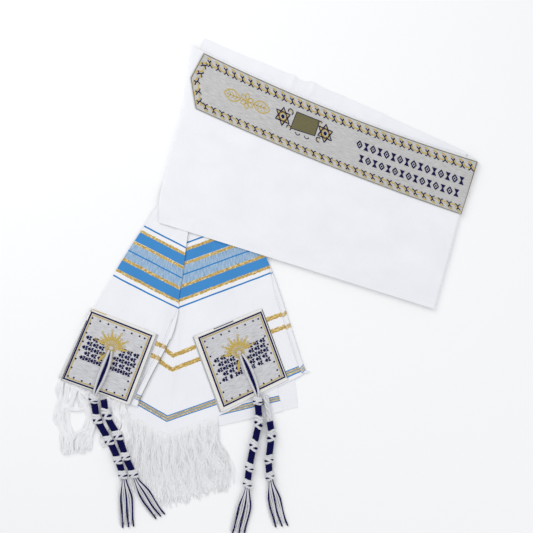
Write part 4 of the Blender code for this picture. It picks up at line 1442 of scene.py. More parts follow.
# %% The middle of each patch
RAY_COUNT = 11
LONG_RAY, SHORT_RAY = 24.5, 18.5
LOZENGE_PITCH = 8.0
ROW_PITCH = 7.6
HALF_AND_GAP = [(36, 16), (34, 14), (36, 10.5), (32, 10), (34, 10)]
lozenge = Drawing(0.34)
lozenge.shape([(-3.0, 0), (0, -3.2), (3.0, 0), (0, 3.2)])
hourglass = Drawing(0.34)
for side in (-1, 1):
    hourglass.shape([(-0.7, 0), (0.7, 0), (2.4, side * 3.2), (-2.4, side * 3.2)])
EYELETS = {"left_patch": (47.6, 43.4), "right_patch": (53.5, 47.5)}
for label, surface in PATCH_SURFACES.items():
    centre = np.array(EYELETS[label])
    golden = Drawing(0.4)
    for k in range(RAY_COUNT):
        way = direction(-170 + 16 * k)
        reach = LONG_RAY if k % 2 == 0 else SHORT_RAY
        golden.shape(leaf(centre + way * 8.0, centre + way * reach, 4.2))
        golden.stroke(arc(centre + way * (reach + 1.0), 1.5, 0, 330, 9), 0.8)
    for radius in (6.2, 8.0):
        golden.stroke(arc(centre, radius, 0, 345, 26), 1.2, closed=True)
    for side in (-1, 1):
        golden.shape(leaf(centre + [side * 3.0, 9], centre + [side * 10.5, 27], 4.4))
        golden.stroke(arc(centre + [side * 8.0, 14], 2.4, 0, 300, 12), 1.0)
    patch_trims[label].append(embroider(surface, golden, label + "_rosette", gold_thread))
    # The tassel's loop splits each row in two. Every other row starts a quarter of the pitch further on.
    lines = []
    for row, (half, gap) in enumerate(HALF_AND_GAP):
        y = centre[1] - 2.6 + ROW_PITCH * row
        shift = LOZENGE_PITCH / 4 * (row % 2)
        lines.append(([(centre[0] - half + shift, y), (centre[0] - gap, y)], False))
        lines.append(([(centre[0] + gap + shift, y), (centre[0] + half, y)], False))
    between = [([(x + LOZENGE_PITCH / 2, y) for x, y in line], False) for line, _ in lines]
    for kind, motif_drawing, where in (("lozenges", lozenge, lines), ("hourglasses", hourglass, between)):
        name = label + "_" + kind
        patch_trims[label].append(
            motif_rows(name, surface, where, motif_drawing, LOZENGE_PITCH, navy_thread)
        )
print("patch pieces:", {label: len(trims) for label, trims in patch_trims.items()})

# %% The folded sides of the patches
def fold_strip(name, surface, side, out_top, out_bottom, supports):
    """A narrow strip of the patch's turned-back weave, which shows past one side of it."""
    top_left, top_right, bottom_right, bottom_left = surface.corners
    across = (top_right - top_left) / surface.width
    upper, lower = (top_right, bottom_right) if side > 0 else (top_left, bottom_left)
    edge = [upper - across * side, lower - across * side]
    far = [upper + across * side * out_top, lower + across * side * out_bottom]
    rows = [(*edge[k], *far[k]) if side > 0 else (*far[k], *edge[k]) for k in range(2)]
    strip = Sheet(rows, supports, bridge=4.0, wall=THIN_WALL)
    return cloth_piece(name, strip, 6, 50, ribbed_weave, thickness=0.4)


ribbed_weave = silver_material("silver_ribbed_edge", (0.3, 0.3, 0.32), (0.62, 0.62, 0.64))
fold_left = fold_strip("left_patch_fold", left_surface, 1, 3.4, 3.8, [left_end])
fold_right = fold_strip("right_patch_fold", right_surface, -1, 2.2, 2.6, [right_end])
for piece in (fold_left, fold_right):
    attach(piece, "root")
under_surface = PatchSurface(PATCH_UNDER, patch_under)
under_ribs = []
for kind, first, thread in (("light_ribs", 0.9, cream_thread), ("grey_ribs", 2.3, stitch_thread)):
    ribs = Drawing(0.3)
    for k in range(3):
        x = first + 2.8 * k
        ribs.stroke(straight_line((x, 1.0), (x, under_surface.height - 1.0)), 1.3)
    under_ribs.append(embroider(under_surface, ribs, "left_patch_under_" + kind, thread))
print("folded sides:", fold_left.name, fold_right.name)

# %% The eyelet where each tassel passes through
EYELET_RADIUS = 4.2
EYELET_STEPS = 28
EYELET_SIDES = 8
for label, surface in PATCH_SURFACES.items():
    x, y, z = surface.place(np.array([[*EYELETS[label], 0.0]]))[0]
    ring = bmesh.new()
    sections = []
    for i in range(EYELET_STEPS):
        turn = 2 * math.pi * i / EYELET_STEPS
        out = Vector((math.cos(turn), math.sin(turn), 0))
        section = []
        for k in range(EYELET_SIDES):
            wrap = 2 * math.pi * k / EYELET_SIDES
            radius = EYELET_RADIUS + 1.0 * math.cos(wrap) + 0.12 * math.cos(14 * turn)
            spot = out * radius
            section.append(ring.verts.new(metres(x + spot.x, y + spot.y, z + 0.35 + 0.75 * math.sin(wrap))))
        sections.append(section)
    for low, high in zip(sections, sections[1:] + sections[:1]):
        for k in range(EYELET_SIDES):
            j = (k + 1) % EYELET_SIDES
            ring.faces.new((low[k], low[j], high[j], high[k]))
    ring_mesh = bpy.data.meshes.new(label + "_eyelet")
    ring.to_mesh(ring_mesh)
    ring.free()
    ring_mesh.shade_smooth()
    ring_mesh.materials.append(gold_thread)
    eyelet = add_object(label + "_eyelet", ring_mesh)
    turn_outwards(eyelet)
    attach(eyelet, "root")
    patch_trims[label].append(eyelet)
print("eyelets:", len(EYELETS))

# %% [markdown]
# ## Embroidery on the neckband
# A leaf border runs along both long edges and round the pointed end. Between the borders are a gold sprig
# with a rosette, a small panel between two six-pointed stars, and two rows of navy hourglasses and lozenges.

# %% The neckband's border
BORDER_INSET = 10.2
BORDER_PITCH = 12.9
BAND_END = 440.0


def band_left(down):
    """Where the pointed end starts, at a distance down the band."""
    share = down / BAND_WIDTH
    return (BAND_START + BAND_POINT * abs(share - BAND_TIP) / 0.5) * BAND_REACH


band_trims = []
edge_line = Drawing(0.4)
edge_line.stroke(
    closed_line(
        [
            (BAND_END, 1.2),
            (band_left(0) + 1.6, 1.2),
            (band_left(BAND_WIDTH / 2) + 1.8, BAND_WIDTH / 2),
            (band_left(BAND_WIDTH) + 1.6, BAND_WIDTH - 1.2),
            (BAND_END - 12, BAND_WIDTH - 1.2),
        ]
    ),
    1.0,
    closed=True,
)
band_trims.append(embroider(band_surface, edge_line, "band_edge_line", olive_thread))
navy_leaf = Drawing(0.44)
steps = np.linspace(0, 1, 12)
navy_leaf.stroke(along_spline([(-4.6, -4.2), (-1.6, -2.6), (0.8, 0.8), (4.2, 3.4)], steps), 1.7)
navy_leaf.stroke(along_spline([(-0.2, -1.0), (1.0, -3.6), (3.2, -4.8)], steps), 1.5)
navy_leaf.shape(leaf((0.8, 1.0), (-1.4, 4.6), 2.2))
gold_leaf = Drawing(0.36)
gold_leaf.stroke(along_spline([(-6.4, -2.6), (-3.4, -0.6), (-1.0, 3.0), (2.0, 5.6), (5.6, 5.6)], steps), 2.3)
gold_leaf.stroke(along_spline([(1.2, -0.8), (3.6, -2.2), (6.0, -1.6)], steps), 2.1)
border = [
    (BAND_END - 7, BORDER_INSET),
    (band_left(BORDER_INSET) + 9.0, BORDER_INSET),
    (band_left(BAND_WIDTH / 2) + 10.5, BAND_WIDTH / 2),
    (band_left(BAND_WIDTH - BORDER_INSET) + 9.0, BAND_WIDTH - BORDER_INSET),
    (BAND_END - 18, BAND_WIDTH - BORDER_INSET),
]
border_line = np.vstack([straight_line(a, b) for a, b in zip(border, border[1:])])
for kind, motif_drawing, thread in (("navy", navy_leaf, navy_thread), ("gold", gold_leaf, gold_thread)):
    name, where = "band_border_" + kind, [(border_line, False)]
    band_trims.append(motif_rows(name, band_surface, where, motif_drawing, BORDER_PITCH, thread))
print("border pieces:", len(band_trims))

# %% Stars and panel
STAR_RADIUS = 12.4
INNER_STAR = 0.72
PANEL_LINES = 11
STARS = [(147.0, 35.3), (213.0, 34.7)]
star_navy, star_gold, panel = Drawing(0.46), Drawing(0.38), Drawing(0.34)
for x, y in STARS:
    for k in range(2):
        corners = [
            (x + STAR_RADIUS * math.cos(math.radians(a)), y + STAR_RADIUS * math.sin(math.radians(a)))
            for a in (-90 + 180 * k, 30 + 180 * k, 150 + 180 * k)
        ]
        inner = [(x + (cx - x) * INNER_STAR, y + (cy - y) * INNER_STAR) for cx, cy in corners]
        star_navy.stroke(closed_line(corners, 2.0), 1.7, closed=True)
        star_gold.stroke(closed_line(inner, 2.0), 1.9, closed=True, lift=0.32)
    star_navy.shape(arc((x, y), 2.9, 0, 315, 8))
panel_corners = [(167.0, 21.6), (202.5, 21.0), (198.0, 43.4), (160.5, 46.4)]
panel.shape(closed_line(panel_corners, 3.0))
for k in range(PANEL_LINES):
    share = (k + 0.5) / PANEL_LINES
    start = np.array(panel_corners[0]) + (np.array(panel_corners[3]) - panel_corners[0]) * share
    end = np.array(panel_corners[1]) + (np.array(panel_corners[2]) - panel_corners[1]) * share
    panel.stroke(straight_line(start, end, 4.0), 1.3, lift=0.5)
for side, x in ((-1, 160.5), (1, 201.5)):
    for y, radius in ((25.0, 3.8), (46.5, 3.4)):
        star_navy.stroke(arc((x + side * 2.6, y), radius, 60, 60 + side * 260, 14), 1.3)
        star_gold.stroke(arc((x + side * 2.6, y), radius - 1.7, 60, 60 + side * 260, 12), 1.3)
star_navy.stroke(closed_line(panel_corners, 2.5), 1.0, closed=True, lift=0.5)
for x in (172.0, 186.0):
    star_navy.stroke(arc((x, 48.2), 3.6, 10, 170, 10), 1.2)
band_trims.append(embroider(band_surface, panel, "band_panel", olive_thread))

# %% The gold sprig and the rows of navy work
sprig = Drawing(0.38)
SPRIG_CENTRE = np.array([90.5, 36.1])
WORK_START = 266.0
WORK_PITCH = 10.4
WORK_ROWS = (31.5, 49.5)
for side in (-1, 1):
    stem, tip = SPRIG_CENTRE + (side * 10, 0), SPRIG_CENTRE + (side * 36, -side * 1.5)
    sprig.stroke(leaf(stem, tip, 15.0, 15), 1.7, closed=True)
    sprig.stroke(straight_line(stem, stem + (tip - stem) * 0.84), 1.3)
    for share in (0.2, 0.4, 0.6):
        foot = stem + (tip - stem) * share
        for way in (-1, 1):
            sprig.stroke(straight_line(foot, foot + (side * 3.6, way * 4.2), 1.5), 1.1)
for k in range(6):
    way = direction(60 * k + 30)
    sprig.stroke(leaf(SPRIG_CENTRE + way * 2.2, SPRIG_CENTRE + way * 10.6, 5.6, 9), 1.4, closed=True)
sprig.shape(arc(SPRIG_CENTRE, 2.0, 0, 315, 8), lift=0.6)
band_trims.append(embroider(band_surface, sprig, "band_gold_vine", gold_thread))
for k in range(16):
    x = WORK_START + WORK_PITCH * k
    for row, y in enumerate(WORK_ROWS[: 2 - k // 15]):
        middle = np.array([x + 5.3 * row, y])
        if (k + row) % 2:
            for way in (-1, 1):
                corners = [(-0.9, 0), (0.9, 0), (3.9, way * 5.2), (-3.9, way * 5.2)]
                star_navy.shape([middle + corner for corner in corners])
        else:
            corners = [tuple(middle + corner) for corner in ((0, -4.8), (3.8, 0), (0, 4.8), (-3.8, 0))]
            star_navy.stroke(closed_line(corners, 2.0), 2.1, closed=True)
            star_navy.shape(arc(middle, 1.3, 0, 300, 6))
for name, drawing, thread in (
    ("band_navy_work", star_navy, navy_thread),
    ("band_gold_work", star_gold, gold_thread),
):
    band_trims.append(embroider(band_surface, drawing, name, thread))
print("neckband trims:", len(band_trims))

# %% [markdown]
# ## Sewing
# Lines of short stitches hold the patches and the hems. One stitch is a small humped bead of
# a few faces; the motif row repeats it.

# %% Stitches
stitch = Drawing(0.26)
stitch.stroke([(-1.25, 0), (-0.8, 0), (0.8, 0), (1.25, 0)], 0.55)
STITCH_PITCH = 3.4
HEM_STITCH_PITCH = 3.0
STITCH_WANDER = 0.08
sewing = []
for label, surface in (("left_patch", left_surface), ("right_patch", right_surface)):
    loop = closed_line(framed(surface, 1.0, 1.3, 1.3, 1.2))
    sewing.append(
        motif_rows(
            label + "_sewing", surface, [(loop, True)], stitch, STITCH_PITCH, stitch_thread, STITCH_WANDER
        )
    )


class HemSurface:
    """Places points, in mm down and across a panel's right edge, above a strip along it."""

    def __init__(self, panel, first_share, raised):
        self.panel = panel
        self.first_share = first_share
        self.raised = raised
        edge, _ = right_edge(panel, first_share + (1 - first_share) * np.linspace(0, 1, 60))
        self.length = float(running_length(edge)[-1])

    def place(self, points):
        share = np.clip(points[:, 0] / self.length, 0, 1)
        edge, inward = right_edge(self.panel, self.first_share + (1 - self.first_share) * share)
        spots = edge + inward * points[:, 1:2]
        return np.column_stack([spots, self.panel.top(spots) + self.raised + points[:, 2]])


for label, panel, first_share, width in (
    ("left_hem", left_end, 0.6, 8.0),
    ("right_hem", right_end, 0.42, 6.6),
):
    hem_surface = HemSurface(panel, first_share, 1.55)
    line = straight_line((1.0, width - 1.2), (hem_surface.length - 1.0, width - 1.2))
    sewing.append(
        motif_rows(
            label + "_sewing",
            hem_surface,
            [(line, False)],
            stitch,
            HEM_STITCH_PITCH,
            stitch_thread,
            STITCH_WANDER,
        )
    )
# A thin dark line along the left end's hemmed edge: a painted shadow, the shade that edge casts on the cloth
# below.
hem_shadow_surface = HemSurface(left_end, 0.6, 1.4)
edge_line = Drawing(0.25)
edge_line.stroke(straight_line((4.0, 0.9), (hem_shadow_surface.length - 5.0, 0.9)), 0.8)
sewing.append(embroider(hem_shadow_surface, edge_line, "left_hem_edge_line", olive_thread))
print("sewn lines:", len(sewing))

# %% [markdown]
# ## Threads and cords
# The fringe and the tassels are bundles of round threads. Each thread starts as a plain line of edges. One
# Geometry Nodes tree turns them all into round yarn, with its own thickness, and writes a map round and
# along it, which the twist of the cord follows.

# %% The thread sweep, in Geometry Nodes
ROUND_METRES = 0.0075
thread_sweep, sweep_start, sweep_end = new_group(
    "thread_sweep",
    [
        ("Threads", "NodeSocketGeometry"),
        ("Radius", "NodeSocketFloat"),
        ("Sides", "NodeSocketInt"),
        ("Material", "NodeSocketMaterial"),
    ],
    [("Yarn", "NodeSocketGeometry")],
    "GeometryNodeTree",
)
sweep_in = sweep_start.outputs
curve = add_node(thread_sweep, "GeometryNodeMeshToCurve", {"Mesh": sweep_in["Threads"]}).outputs["Curve"]
thickness = add_node(
    thread_sweep, "GeometryNodeInputNamedAttribute", {"Name": "thickness"}, data_type="FLOAT"
).outputs["Attribute"]
own_radius = math_node(thread_sweep, "MULTIPLY", thickness, sweep_in["Radius"])


def keep_value(tree, geometry, label, value):
    """Stores a changing value on the geometry's points and hands both on."""
    capture = tree.nodes.new("GeometryNodeCaptureAttribute")
    capture.capture_items.new("FLOAT", label)
    tree.links.new(geometry, capture.inputs["Geometry"])
    tree.links.new(value, capture.inputs[label])
    return capture.outputs["Geometry"], capture.outputs[label]


length_on = add_node(thread_sweep, "GeometryNodeSplineParameter").outputs
curve, length_kept = keep_value(thread_sweep, curve, "Along", length_on["Length"])
circle = add_node(
    thread_sweep, "GeometryNodeCurvePrimitiveCircle", {"Resolution": sweep_in["Sides"], "Radius": 1.0}
).outputs["Curve"]
circle, round_kept = keep_value(thread_sweep, circle, "Round", length_on["Factor"])
swept = add_node(
    thread_sweep,
    "GeometryNodeCurveToMesh",
    {"Curve": curve, "Profile Curve": circle, "Scale": own_radius, "Fill Caps": True},
).outputs["Mesh"]
round_length = math_node(thread_sweep, "MULTIPLY", round_kept, ROUND_METRES)
pair = add_node(thread_sweep, "ShaderNodeCombineXYZ", {"X": round_length, "Y": length_kept})
mapped = add_node(
    thread_sweep,
    "GeometryNodeStoreNamedAttribute",
    {"Geometry": swept, "Name": "cloth_map", "Value": pair.outputs["Vector"]},
    data_type="FLOAT2",
    domain="CORNER",
).outputs["Geometry"]
smooth = add_node(thread_sweep, "GeometryNodeSetShadeSmooth", {"Geometry": mapped}).outputs["Geometry"]
realize_and_paint(thread_sweep, smooth, sweep_in["Material"], sweep_end)


def sweep_threads(name, threads, radius, sides, material):
    """Round yarn along threads, each an array of points in mm with a thickness factor in column 3."""
    points = np.vstack(threads)
    edges, first = [], 0
    for thread in threads:
        edges += [(first + i, first + i + 1) for i in range(len(thread) - 1)]
        first += len(thread)
    mesh = bpy.data.meshes.new(name + "_threads")
    mesh.from_pydata((points[:, :3] * MM).tolist(), edges, [])
    own = mesh.attributes.new("thickness", "FLOAT", "POINT")
    own.data.foreach_set("value", points[:, 3].astype(np.float32))
    return run_nodes(name, mesh, thread_sweep, {"Radius": radius * MM, "Sides": sides, "Material": material})


def joined_piece(name, meshes):
    """One object from several meshes, each with its own material."""
    bm = bmesh.new()
    joined = bpy.data.meshes.new(name)
    for slot, mesh in enumerate(meshes):
        first = len(bm.faces)
        bm.from_mesh(mesh)
        bm.faces.ensure_lookup_table()
        for face in bm.faces[first:]:
            face.material_index = slot
        joined.materials.append(mesh.materials[0])
    bmesh.ops.recalc_face_normals(bm, faces=bm.faces)
    bm.to_mesh(joined)
    bm.free()
    joined.shade_smooth()
    return add_object(name, joined)


# %% [markdown]
# ## Fringe
# The fringe is the warp itself, left unwoven past the last weft. The left end's threads are knotted into
# soft locks that part round a gap and meet again. The middle's are loose, fine and crimped.

# %% Locks of the left fringe
FRINGE_SEED = 18
LOCK_STEPS = 34
LOCK_THREADS = 38
FULL_TURN = 6.3
rng = np.random.default_rng(FRINGE_SEED)


def turned_way(degrees):
    """A plan direction at angles from straight down, positive to the right."""
    angle = np.radians(degrees)
    return np.stack([np.sin(angle), -np.cos(angle)], axis=-1)


def lock_threads(stops, count, wavy):
    """Threads of one soft lock through stops, each a plan point with the lock's half width there."""
    made = []
    run = np.linspace(0, 1, LOCK_STEPS)
    middle = along_spline(stops, run)
    side = sideways(unit(np.gradient(middle[:, :2], axis=0)))
    for k in range(count):
        spread, up = rng.uniform(-1, 1), rng.uniform(0, 1)
        twist = 1.5 * np.sin(run * 9.0 + stops[0][0])
        across = (spread * np.cos(twist) + (up - 0.5) * np.sin(twist)) * middle[:, 2]
        bends = run * rng.uniform(16, 26) + rng.uniform(0, FULL_TURN)
        across += wavy * np.sin(bends) * smooth_step(run * 5)
        bulk = np.clip(middle[:, 2] * 0.55, 1.6, 4.6)
        ripple = 0.3 * np.sin(run * 15 + rng.uniform(0, FULL_TURN))
        height = np.maximum(0.55 + bulk * up * (1 - 0.5 * spread * spread) + ripple, 0.96)
        spots = middle[:, :2] + side * across[:, None]
        last = int(LOCK_STEPS * rng.uniform(0.9, 1.0))
        thickness = np.full(LOCK_STEPS, rng.uniform(0.8, 1.25))
        made.append(np.column_stack([spots, height, thickness])[:last])
    return made


LEFT_LOCKS = [
    [
        (-344, -258, 5), (-349, -275, 5), (-347, -290, 4), (-351, -303, 4),
        (-352, -318, 5), (-346, -332, 5), (-342, -345, 6), (-343, -370, 6),
    ],
    [
        (-336, -261, 5), (-338, -276, 5), (-341, -290, 4), (-344, -303, 4),
        (-345, -318, 4), (-342, -333, 5), (-338, -345, 6), (-337, -370, 6),
    ],
    [
        (-327, -265, 6), (-328, -280, 6), (-332, -293, 5), (-337, -305, 3.5),
        (-336, -318, 3.5), (-335, -332, 4), (-333, -350, 6), (-330, -370, 6),
    ],
    [
        (-317, -269, 6), (-318, -281, 6), (-317, -294, 6), (-309, -306, 5),
        (-307, -318, 4), (-311, -331, 4), (-320, -343, 6), (-325, -370, 7),
    ],
    [
        (-305, -273, 5), (-305, -287, 5), (-306, -300, 6), (-303, -312, 4),
        (-302, -323, 4), (-305, -335, 4), (-313, -347, 6), (-317, -372, 7),
    ],
    [
        (-294, -278, 5), (-295, -292, 5), (-297, -305, 4), (-298, -317, 4),
        (-300, -330, 4), (-305, -346, 5), (-309, -366, 6),
    ],
    [
        (-330, -264, 5), (-316, -277, 5), (-307, -288, 4), (-311, -299, 4),
        (-325, -303, 4), (-338, -299, 4), (-345, -308, 4), (-348, -328, 4),
    ],
    [
        (-301, -318, 4), (-306, -330, 4), (-317, -338, 5),
        (-329, -342, 5), (-338, -352, 6), (-339, -371, 6),
    ],
    [
        (-281, -282, 7), (-281, -298, 7), (-280, -312, 7),
        (-282, -328, 7), (-284, -342, 7), (-286, -360, 6),
    ],
    [
        (-268, -287, 7), (-267, -302, 7), (-266, -316, 8),
        (-268, -334, 8), (-270, -352, 8), (-271, -368, 7),
    ],
    [
        (-257, -291, 5), (-256, -306, 7), (-254, -320, 7),
        (-255, -338, 8), (-256, -356, 8), (-258, -372, 7),
    ],
]
left_threads = []
for stops in LEFT_LOCKS:
    left_threads += lock_threads(stops, LOCK_THREADS, 0.5)
print("left fringe threads:", len(left_threads))

# %% Loose threads of the middle fringe
MIDDLE_COUNT = 620
MIDDLE_STEPS = 25
MIDDLE_LENGTH = 103.0
CORNER_SHARE = 0.45
CLUMPS = 26
middle_left, corner, middle_right = right_end.points(np.array([0.01, *RIGHT_END_SHARES[1:3]]), np.ones(3))
middle_threads = []
for k in range(MIDDLE_COUNT):
    s = (k + rng.uniform(0, 1)) / MIDDLE_COUNT
    if s < CORNER_SHARE:
        root = middle_left + (corner - middle_left) * (s / CORNER_SHARE)
    else:
        root = corner + (middle_right - corner) * ((s - CORNER_SHARE) / (1 - CORNER_SHARE))
    run = np.linspace(0, 1, MIDDLE_STEPS)
    way = turned_way(-4.0 + 13.0 * s + rng.normal(0, 3.0))
    clump = math.floor(s * CLUMPS)
    clump_phase = 2.4 * clump
    curl = 0.35 + 0.65 * smooth_step(np.array((s - 0.35) / 0.4))
    reach = MIDDLE_LENGTH * (1 + 0.05 * math.sin(clump_phase) + rng.uniform(-0.07, 0.04))
    bends = run * (8.5 + 2.5 * math.sin(clump * 1.7)) + clump_phase
    wave = (1.6 + 4.6 * curl) * np.sin(bends) * smooth_step(run * 2)
    crimp, bends = rng.uniform(0.4, 1.4), run * rng.uniform(20, 32) + rng.uniform(0, FULL_TURN)
    wave += crimp * np.sin(bends) * smooth_step(run * 5)
    wave += (0.5 - (s * CLUMPS - clump)) * 3.0 * smooth_step(run * 1.6)
    spots = root + way * (reach * run - 1.5)[:, None] + sideways(way) * wave[:, None]
    base = right_end.underside(root[None, :])[0] + 0.45
    outside = distance_outside(spots, right_under.outline)
    low = (1 - smooth_step((outside - HOLD) / RAMP)) * (CLOTH + LIFT)
    pile = rng.uniform(0, 1) * (1.0 + 1.8 * np.sin(np.pi * np.clip(run * 1.1, 0, 1)))
    z = base + (low + 0.62 - base) * smooth_step(run * 3) + pile * smooth_step(run * 6)
    middle_threads.append(np.column_stack([spots, z, np.full(MIDDLE_STEPS, rng.uniform(0.8, 1.25))]))
print("middle fringe threads:", len(middle_threads))

# %% The fringe as yarn
left_yarn = sweep_threads("left_fringe_yarn", left_threads, 0.75, 5, fringe_yarn)
left_fringe = joined_piece("left_fringe", [left_yarn])
middle_yarn = sweep_threads("middle_fringe_yarn", middle_threads, 0.48, 5, fringe_yarn)
middle_fringe = joined_piece("middle_fringe", [middle_yarn])
for piece, node in ((left_fringe, "fringe_left"), (middle_fringe, "fringe_right")):
    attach(piece, "root")
    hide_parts(node)
    print(piece.name, "faces:", len(piece.data.polygons))

# %% [markdown]
# ## Tassels
# At each corner a long doubled cord passes through the patch's eyelet. One navy cord is wound tightly
# round the others between double knots of white cord, and all the ends hang free below the last knot.
# Each tassel is walked once along its path: every stretch adds its own cords.

# %% The tassels' tables
TASSEL_PATHS = {
    "left_upper": [
        (-274, -218), (-280, -239), (-289, -261), (-298, -286), (-297, -298), (-293, -318),
        (-278, -345), (-270, -360), (-262, -380), (-256, -400), (-254, -415),
    ],
    "left_lower": [
        (-284, -289), (-281, -307), (-274, -323), (-264, -340), (-259, -352), (-252, -372),
        (-244, -390), (-236, -408), (-233, -414),
    ],
    "right_upper": [
        (-85.5, -223.5), (-76.5, -241), (-69, -260), (-62.5, -278), (-61.5, -292), (-60, -307), (-60, -322),
        (-63, -339), (-67.5, -357), (-71, -374), (-74, -391), (-76, -408), (-77, -417),
    ],
    "right_lower": [
        (-49.5, -284), (-46.5, -303), (-44, -319), (-42, -333), (-41.5, -343), (-43, -356), (-45, -373),
        (-45, -390), (-43, -406),
    ],
}
TASSEL_WRAPS = {
    "left_upper": [
        ("loop", 69), ("knot", 10), ("winding", 18), ("knot", 13), ("winding", 22), ("knot", 13),
        ("winding", 20), ("knot", 10), ("winding", 12), ("knot", 10),
    ],
    "left_lower": [
        ("winding", 13), ("knot", 16), ("winding", 20), ("knot", 13), ("winding", 21), ("knot", 10),
        ("winding", 18), ("knot", 10),
    ],
    "right_upper": [
        ("loop", 67), ("knot", 9), ("winding", 18), ("knot", 17), ("winding", 19), ("knot", 14),
        ("winding", 20), ("knot", 10), ("winding", 14), ("knot", 10),
    ],
    "right_lower": [
        ("bare", 37), ("winding", 13), ("knot", 15), ("winding", 21), ("knot", 11), ("winding", 14),
        ("knot", 10),
    ],
}
FRINGE_LEVEL = 1.1
TASSEL_FLOORS = {
    "left_upper": lambda spots: np.maximum(FRINGE_LEVEL, resting_height(spots, [patch_left, left_end])),
    "left_lower": lambda spots: np.full(len(spots), FRINGE_LEVEL),
    "right_upper": lambda spots: resting_height(spots, [patch_right, right_end, right_under]),
    "right_lower": lambda spots: resting_height(spots, [right_end, right_under]),
}
TASSEL_ENDS = {
    "left_upper": (0.1, 74.0, -4.0),
    "left_lower": (0.0, 70.0, 5.0),
    "right_upper": (0.2, 72.0, -7.0),
    "right_lower": (0.2, 72.0, 6.0),
}
SEAM = 0.3


# %% Walking a tassel
class TasselPath:
    """A tassel's middle line, with its floor and its directions at any distance."""

    def __init__(self, label):
        self.spots = along_spline(TASSEL_PATHS[label], np.linspace(0, 1, 401))
        self.runs = running_length(self.spots)
        self.floors = TASSEL_FLOORS[label](self.spots)

    def plan(self, run):
        """Plan points at distances, none past either end."""
        return np.stack([np.interp(run, self.runs, self.spots[:, k]) for k in range(2)], axis=-1)

    def at(self, run):
        """Plan point, direction and floor at distances, straight on past the end."""
        inside = np.clip(run, 0, self.runs[-1])
        way = unit(self.plan(inside + 1.5) - self.plan(inside - 1.5))
        spot = self.plan(inside) + way * (run - inside)[..., None]
        near = [np.interp(inside + step, self.runs, self.floors) for step in (-4, -2, 0, 2, 4)]
        return spot, way, np.max(near, axis=0)

    def cord(self, run, across, height, thickness=1.0):
        """A cord's points from distances, offsets across the path and heights above its floor."""
        spot, way, floor = self.at(run)
        plan = spot + sideways(way) * across[..., None]
        return np.column_stack([plan, floor + SEAM + height, np.full(len(run), thickness)])


CORD = 1.15
WINDING_CORD = 0.95
WINDING_RADIUS = 5.1
WINDING_PITCH = 1.8


def winding(path, start, length):
    """A cord wound round the path, flattened a little where it rests."""
    turns, radius = length / WINDING_PITCH, WINDING_RADIUS - WINDING_CORD
    run = np.linspace(0, 1, max(int(turns * 11), 12))
    angle = 2 * math.pi * turns * run
    height = WINDING_RADIUS * 0.86 + radius * 0.84 * np.sin(angle)
    return path.cord(start + length * run, radius * np.cos(angle), height, WINDING_CORD / CORD)


def straight_cords(path, start, length, offsets, height):
    """Cords that run along the path side by side."""
    run = np.linspace(0, 1, max(int(length / 2.5), 5))
    made = []
    for k, offset in enumerate(offsets):
        level = np.full(len(run), height + 0.12 * (k % 2))
        made.append(path.cord(start + length * run, np.full(len(run), offset), level, 1.25))
    return made


# %% Loops, windings, knots and free ends
END_CORDS = 8


def loop_cords(path, start, length, white, navy):
    """A doubled loop: two thick white strands that part round a navy core."""
    run = np.linspace(0, 1, 34)
    bow = np.sin(np.pi * np.clip(0.04 + run * 0.98, 0, 1)) ** 0.8
    for side in (-1, 1):
        for k, (near, far, up) in enumerate(((1.6, 5.3, 1.5), (0.9, 3.6, 2.0), (1.2, 4.5, 3.0))):
            across = side * (near + (far - near) * bow) + 0.25 * np.sin(run * 11 + k)
            white.append(path.cord(start + length * run, across, up + 0.2 * np.sin(run * 8 + k), 1.0))
    for offset in (-1.0, 1.0):
        across = offset * (0.35 + 0.65 * bow) + 0.3 * np.sin(run * 7 + offset)
        navy.append(path.cord(start + length * (0.08 + 0.86 * run), across, np.full(34, 1.5), 1.05))


def knot_cords(path, start, length, white, navy, tilt):
    """A soft double knot: fat white turns, a slanted one over them and a glimpse of navy."""
    run = np.linspace(0, 1, 19)
    angle = 2 * math.pi * run
    for place, wide in ((0.1, 4.3), (0.38, 5.0), (0.9, 4.4)):
        slant = tilt * (np.cos(angle) * 0.08 + np.sin(2 * angle) * 0.05) * length
        height = 5.1 + wide * 0.6 * np.sin(angle)
        white.append(path.cord(start + length * place + slant, wide * np.cos(angle), height, 1.95))
    spots = start + length * 0.58 - tilt * np.cos(angle) * 0.24 * length
    white.append(path.cord(spots, 4.8 * np.cos(angle), 5.7 + 3.4 * np.sin(angle), 1.75))
    spots = start + length * 0.66 + tilt * np.cos(angle) * 0.12 * length
    navy.append(path.cord(spots, 5.2 * np.cos(angle), 5.2 + 3.6 * np.sin(angle), 1.4))


